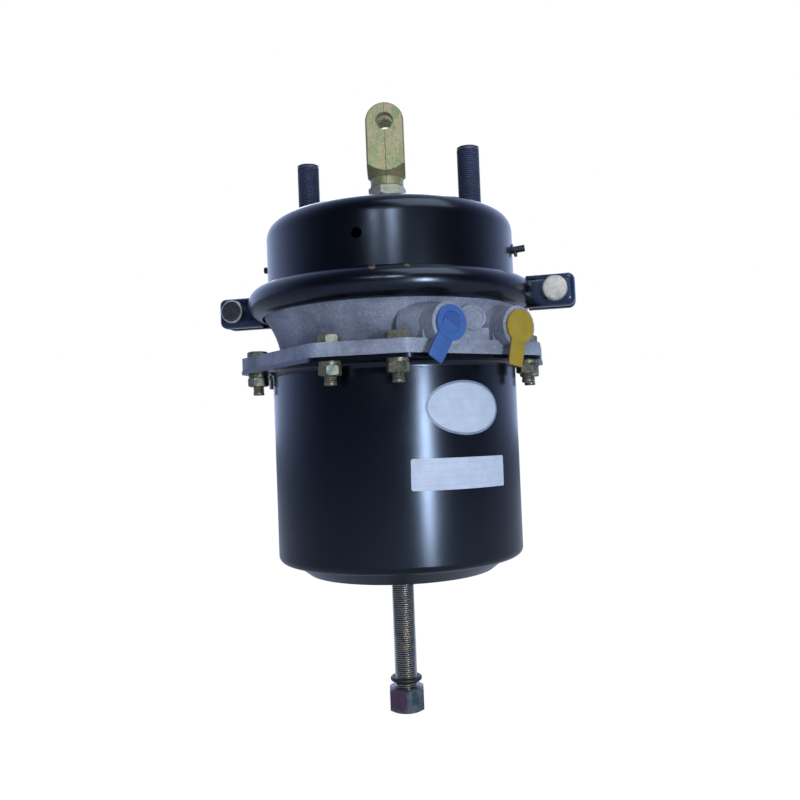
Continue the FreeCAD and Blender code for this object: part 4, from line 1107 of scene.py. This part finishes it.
@dataclass
class CastBody(Assembly):
    """The cast body with its seals, bush and the two dust caps."""

    clock: float = 2.1
    port_azimuth: float = 45.0
    port_spread: float = 27.7
    port_face: float = 104.0
    port_drop: float = 87.3
    cap_radius: float = 11.0
    cap_thickness: float = 2.0
    recess_radius: float = 6.8
    stem_radius: float = 9.0
    stem_length: float = 2.8
    tab_width: float = 11.5
    tab_length: float = 26.0
    tab_thickness: float = 1.6
    edge_round: float = 0.28

    def build(self) -> None:
        """Dresses the casting and makes the dust caps."""
        self.dress(centre_body="alloy", flange_seal="rubber", tube_seals="rubber",
                   tube_bush="white_plastic")
        blue = (self.finishes["blue_plastic"], self.finishes["blue_painted_recess_shade"])
        self.cap("soft_blue_cap", -self.port_spread, 31.0, True, blue, Body.BLUE_CAP, "blue_plastic",
                 "port_cap_blue")
        yellow = (self.finishes["yellow_plastic"], self.finishes["yellow_plastic"])
        self.cap("soft_yellow_cap", self.port_spread, 12.0, False, yellow, Body.YELLOW_CAP, "yellow_plastic",
                 "port_cap_yellow")

    def port_matrix(self, sideways: float) -> Matrix:
        """The place of a port's face: X along the flange, Y up, Z out of the port.

        Args:
            sideways: Where the port lies along the flange, in mm.

        Returns:
            The place.
        """
        a = math.radians(self.port_azimuth + self.clock)
        out = Vector((math.sin(a), -math.cos(a), 0.0))
        across = Vector((math.cos(a), math.sin(a), 0.0))
        up = Vector((0.0, 0.0, 1.0))
        place = (out * self.port_face + across * sideways + up * -self.port_drop) * MM
        matrix = Matrix((across, up, out)).transposed().to_4x4()
        matrix.translation = place
        return matrix

    def disc(self, recess: bool) -> Object:
        """The cap's disc with its stem and rim, facing +Z.

        Args:
            recess: Whether its middle is sunk.

        Returns:
            The disc.
        """
        t = self.cap_thickness
        bpy.ops.mesh.primitive_cylinder_add(vertices=72, radius=self.cap_radius * MM, depth=(t - 0.05) * MM,
                                            location=(0, 0, (t + 0.05) / 2 * MM))
        disc = bpy.context.object
        settle(disc)
        with editing(disc):
            pick(disc, "FACE", lambda f: f.normal.z > 0.9)
            rim, step = 1.7, 0.5
            rest = self.cap_radius - rim - self.recess_radius
            rises = (-0.3, 0.2, -1.0) if recess else (-0.3, 0.1, 0.15)
            for inward, rise in zip((rim, rest - step, step), rises):
                bpy.ops.mesh.inset(thickness=inward * MM)
                bpy.ops.transform.translate(value=(0, 0, rise * MM))
            # The sunk middle takes the second material, which is painted shade where it is darker.
            if recess:
                mark_picked(disc)
            pick(disc, "FACE", lambda f: f.normal.z < -0.9)
            bpy.ops.mesh.inset(thickness=(self.cap_radius - self.stem_radius) * MM)
            bpy.ops.mesh.extrude_region_move(TRANSFORM_OT_translate={"value": (0, 0, -self.stem_length * MM)})
        return disc

    def tab(self, turn: float) -> Object:
        """The pull tab that hangs from the disc.

        Args:
            turn: How far it leans, in degrees.

        Returns:
            The tab.
        """
        middle = Vector((0, -self.tab_length / 2, self.tab_thickness / 2 + 0.05)) * MM
        size = Vector((self.tab_width, self.tab_length, self.tab_thickness)) * MM
        bpy.ops.mesh.primitive_cube_add(size=1.0, location=middle, scale=size)
        tab = bpy.context.object
        settle(tab)
        with editing(tab):
            pick_all()
            for share in (0.45, 0.8):
                bpy.ops.mesh.bisect(plane_co=(0, -self.tab_length * share * MM, 0), plane_no=(0, 1, 0))
                pick_all()
            pick(tab, "FACE", lambda f: f.normal.y < -0.9)
            bpy.ops.transform.resize(value=(0.94, 1, 0.9),
                                     center_override=(0, 0, self.tab_thickness / 2 * MM))
            pick(tab, "EDGE", lambda e: abs(e.verts[0].co.z - e.verts[1].co.z) > 0.001
                       and e.verts[0].co.y < -0.9 * self.tab_length * MM)
            bpy.ops.mesh.bevel(offset=0.9 * MM, segments=3, affect="EDGES")
        tab.data.transform(Matrix.Rotation(math.radians(-turn), 4, "Z"))
        return tab

    def cap(self, name: str, sideways: float, turn: float, recess: bool, materials: tuple[Material, Material],
            body: Body, slot: str, node: str) -> None:
        """One dust cap, made flat and then set on its port.

        Args:
            name: The cap's name.
            sideways: Where its port lies along the flange, in mm.
            turn: How far its tab leans, in degrees.
            recess: Whether the middle of the disc is sunk.
            materials: The finish of the cap and of its recess; the blue recess's darker finish is painted
                shade.
            body: The body that it rides on.
            slot: The record's material slot.
            node: The solid that it replaces.
        """
        disc = self.disc(recess)
        tab = self.tab(turn)
        for part in (disc, tab):
            paint(part, *materials)
            bevelled(part, self.edge_round, 3, 40.0)
        cap = joined([disc, tab], name)
        cap.data.transform(self.port_matrix(sideways))
        smooth(cap, 40.0)
        finish_piece(cap, body, slot, node)


@dataclass
class SpringCylinder(Assembly):
    """The spring cylinder, its stickers and what works inside it."""

    radius: float = 87.1
    rectangle: tuple[float, float, float, float] = (64.05, -179.4, 72.0, 19.9)
    rectangle_tilt: float = -0.8
    oval: tuple[float, float, float, float] = (67.0, -138.1, 56.4, 34.8)
    oval_tilt: float = -2.2
    thickness: float = 0.14

    def build(self) -> None:
        """Dresses the cylinder and its inner parts and makes the stickers."""
        self.dress(spring_cylinder="enamel", threaded_insert="steel", brake_piston="alloy",
                   piston_seal="rubber", piston_guide="white_plastic", piston_tube="steel",
                   tube_cap="black_plastic", thrust_washer="steel")
        self.rectangle_label()
        self.oval_label()
        self.power_spring()

    def rolled(self, label: Object, centre: tuple[float, float], tilt: float) -> None:
        """Rolls a flat label in the XY plane onto the cylinder and gives it its thickness.

        Args:
            label: The flat label about its centre, in metres.
            centre: Arc length from the front and height of its centre, in mm.
            tilt: Turn of the label in degrees.
        """
        settle(label)
        with editing(label):
            pick_all()
            half = max(v.co.x for v in label.data.vertices)
            cuts = 24
            for i in range(1, cuts):
                bpy.ops.mesh.bisect(plane_co=(-half + 2 * half * i / cuts, 0, 0), plane_no=(1, 0, 0))
                pick_all()
        label.data.transform(Matrix.Rotation(math.radians(tilt), 4, "Z"))
        reach = (self.radius + 0.02) * MM
        for vertex in label.data.vertices:
            angle = math.degrees((vertex.co.x + centre[0] * MM) / reach)
            vertex.co = around(reach / MM, angle, vertex.co.y / MM + centre[1])
        skin = label.modifiers.new("film", "SOLIDIFY")
        skin.thickness = self.thickness * MM
        skin.offset = 1.0
        apply_all(label)
        smooth(label, 40.0)

    def blank(self, name: str, width: float, height: float) -> Object:
        """Makes the active unit shape a label's blank.

        Args:
            name: Its name.
            width: Width in mm.
            height: Height in mm.

        Returns:
            The blank.
        """
        label = bpy.context.object
        label.scale = (width * MM, height * MM, 1)
        label.name = label.data.name = name
        settle(label)
        return label

    def rectangle_label(self) -> None:
        """The bare rectangular sticker."""
        s, z, width, height = self.rectangle
        bpy.ops.mesh.primitive_plane_add(size=1.0)
        label = self.blank("rectangular_label", width, height)
        with editing(label):
            pick_all()
            bpy.ops.mesh.bevel(offset=1.4 * MM, segments=4, affect="VERTICES")
        self.rolled(label, (s, z), self.rectangle_tilt)
        paint(label, self.finishes["label"])
        finish_piece(label, Body.CHAMBER, "white_plastic")

    def oval_label(self) -> None:
        """The bare oval sticker with its grey margin."""
        s, z, width, height = self.oval
        bpy.ops.mesh.primitive_circle_add(vertices=96, radius=0.5, fill_type="NGON")
        label = self.blank("oval_label", width, height)
        with editing(label):
            pick_all()
            bpy.ops.mesh.inset(thickness=1.5 * MM)
            mark_picked(label)
        self.rolled(label, (s, z), self.oval_tilt)
        paint(label, self.finishes["label_rim"], self.finishes["oval_label"])
        finish_piece(label, Body.CHAMBER, "white_plastic")

    def power_spring(self) -> None:
        """The power spring, a smooth copy of its solid with its own mesh."""
        spring = self.coil("power_spring", "power_coil")
        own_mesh(spring)


@dataclass
class PushRod(Assembly):
    """The push rod with its plate, clevis, lock nut, return spring and diaphragm."""

    def build(self) -> None:
        """Dresses the rod's pieces and makes smooth copies of the return spring and the diaphragm."""
        self.dress(clevis="clevis", lock_nut="pale_plating", push_rod="steel", push_plate="steel",
                   diaphragm="rubber")
        spring = self.coil("return_spring", "return_coil")
        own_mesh(spring)
        diaphragm = solid_copy("diaphragm", "rolling_diaphragm")
        smooth(diaphragm, 40.0)
        paint(diaphragm, self.finishes["rubber"])
        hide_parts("diaphragm")
        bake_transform(diaphragm)
        log.info("%s: %d faces between two bodies", diaphragm.name, len(diaphragm.data.polygons))


@dataclass
class ReleaseBolt(Assembly):
    """The release bolt with its hexagon and dust ring."""

    diameter: float = 16.0
    pitch: float = 1.5
    low: float = -350.0
    high: float = -190.0
    chamfer: float = 1.2
    overlap: float = 4.0

    def build(self) -> None:
        """Dresses the hexagon and ring and makes the threaded bolt."""
        self.dress(release_hex="hex", release_o_ring="rubber")
        bar = Thread(self.diameter, self.pitch, self.low, self.high, self.chamfer).build("release_bar")
        head = solid_copy("release_bolt", "release_bolt_head")
        cut_away(head, "Z", self.high - self.overlap, -1)
        smooth(head)
        bolt = joined([bar, head], "threaded_release_bolt")
        paint(bolt, self.finishes["release"])
        finish_piece(bolt, Body.BOLT, "yellow_zinc", "release_bolt")


# Studio


@dataclass(frozen=True)
class SoftBox:
    """A soft box: its azimuth, distance, height and size in metres, watts, and the height it points at."""

    name: str
    azimuth: float
    distance: float
    height: float
    size: tuple[float, float]
    watts: float
    aim: float
    colour: Colour

    def build(self) -> None:
        """Makes the lamp, facing the object's axis."""
        data = bpy.data.lights.new(self.name, "AREA")
        data.shape = "RECTANGLE"
        data.size, data.size_y = self.size
        data.energy = self.watts
        data.color = self.colour
        obj = placed(self.name, data)
        obj.location = around(self.distance / MM, self.azimuth, self.height / MM)
        obj.rotation_euler = (Vector((0, 0, self.aim)) - obj.location).to_track_quat("-Z", "Y").to_euler()


@dataclass
class Studio:
    """Floor, light and camera, as the photograph was taken."""

    yaw: float = 13.0
    pitch: float = 1.95
    roll: float = 2.25
    eye: Point = (0.13602, -0.57472, -0.14933)
    lens: float = 36.615
    floor: float = -0.3512

    def build(self) -> None:
        """Makes the floor, the lamps, the world and the camera."""
        self.ground()
        self.world()
        self.lamps()
        self.camera()
        bpy.context.scene.view_settings.view_transform = "Standard"

    def ground(self) -> None:
        """A plain pale floor that reads white to the camera and keeps a soft shadow."""
        bpy.ops.mesh.primitive_plane_add(size=30.0, location=(0, 0, self.floor))
        plane = bpy.context.object
        plane.name = plane.data.name = "studio_floor"
        settle(plane)
        sheet = Sheet("pale_floor")
        sheet.dress(Base_Color=(0.5, 0.5, 0.5), Roughness=0.9)
        glow = sheet.wire("ShaderNodeEmission", 0, {"Strength": 1.11})
        share = sheet.times(sheet.wire("ShaderNodeLightPath", "Is Camera Ray", {}), 0.88)
        surface = sheet.mix_shaders(share, sheet.shader.outputs[0], glow)
        sheet.feed(sheet.tree.nodes["Material Output"].inputs["Surface"], surface)
        paint(plane, sheet.material)

    def world(self) -> None:
        """A white backdrop for the camera, with dimmer light from the front than from behind."""
        world = bpy.data.worlds.new("studio_world")
        bpy.context.scene.world = world
        world.use_nodes = True
        sky = Tree(world.node_tree)
        light = sky.tree.nodes["Background"]
        seen = sky.wire("ShaderNodeBackground", 0, {"Color": WHITE})
        way = sky.wire("ShaderNodeTexCoord", "Generated", {})
        level = sky.sum("ADD", sky.times(sky.axis(way, "X"), -0.27), sky.times(sky.axis(way, "Y"), 0.9))
        sky.feed(light.inputs["Color"], sky.ramp(sky.span(level, -1.0, 1.0, 0.0, 1.0), *SKY))
        light.inputs["Strength"].default_value = 1.6
        camera_ray = sky.wire("ShaderNodeLightPath", "Is Camera Ray", {})
        surface = sky.mix_shaders(camera_ray, light.outputs[0], seen)
        sky.feed(sky.tree.nodes["World Output"].inputs["Surface"], surface)

    def lamps(self) -> None:
        """A strip on the right, two small lamps in front, a large box above and one behind."""
        cool, pale = (0.8, 0.9, 1.0), (0.82, 0.91, 1.0)
        for box in (SoftBox("strip_right", 38.0, 1.3, -0.3, (0.16, 0.5), 18.0, -0.22, cool),
                    SoftBox("spot_left", 0.9, 1.4, 0.4, (0.08, 0.08), 1.5, -0.03, pale),
                    SoftBox("spot_right", 16.1, 1.4, 0.4, (0.11, 0.11), 3.2, -0.03, pale),
                    SoftBox("overhead", 52.0, 1.1, 1.5, (1.4, 1.4), 19.0, -0.1, (0.88, 0.94, 1.0)),
                    SoftBox("behind", 195.0, 1.7, 1.2, (1.2, 1.2), 14.0, -0.1, (0.93, 0.96, 1.0))):
            box.build()

    def camera(self) -> None:
        """The camera at the photograph's place, turned as its fitted angles say."""
        angles = ((self.yaw, "Z"), (self.pitch, "X"), (self.roll, "Z"))
        about, tipped, rolled = (Matrix.Rotation(-math.radians(angle), 3, axis) for angle, axis in angles)
        rows = rolled @ tipped @ Matrix(((1, 0, 0), (0, 0, -1), (0, 1, 0))) @ about
        data = bpy.data.cameras.new("photo_camera")
        data.lens = self.lens
        data.sensor_width = 36.0
        obj = placed("photo_camera", data)
        matrix = Matrix((Vector(rows[0]), -Vector(rows[1]), -Vector(rows[2]))).transposed().to_4x4()
        matrix.translation = self.eye
        obj.matrix_world = matrix
        bpy.context.scene.camera = obj


def main() -> None:
    """Builds every sub-assembly and the studio."""
    logging.basicConfig(level=logging.INFO, format="%(message)s")
    bpy.ops.object.select_all(action="DESELECT")
    finishes = Finishes()
    finishes.build()
    for assembly in (ServiceHousing, ClampBand, FlangeBolts, CastBody, SpringCylinder, PushRod, ReleaseBolt):
        assembly(finishes=finishes).build()
        log.info("%s done", assembly.__name__)
    Studio().build()


if __name__ == "__main__":
    main()
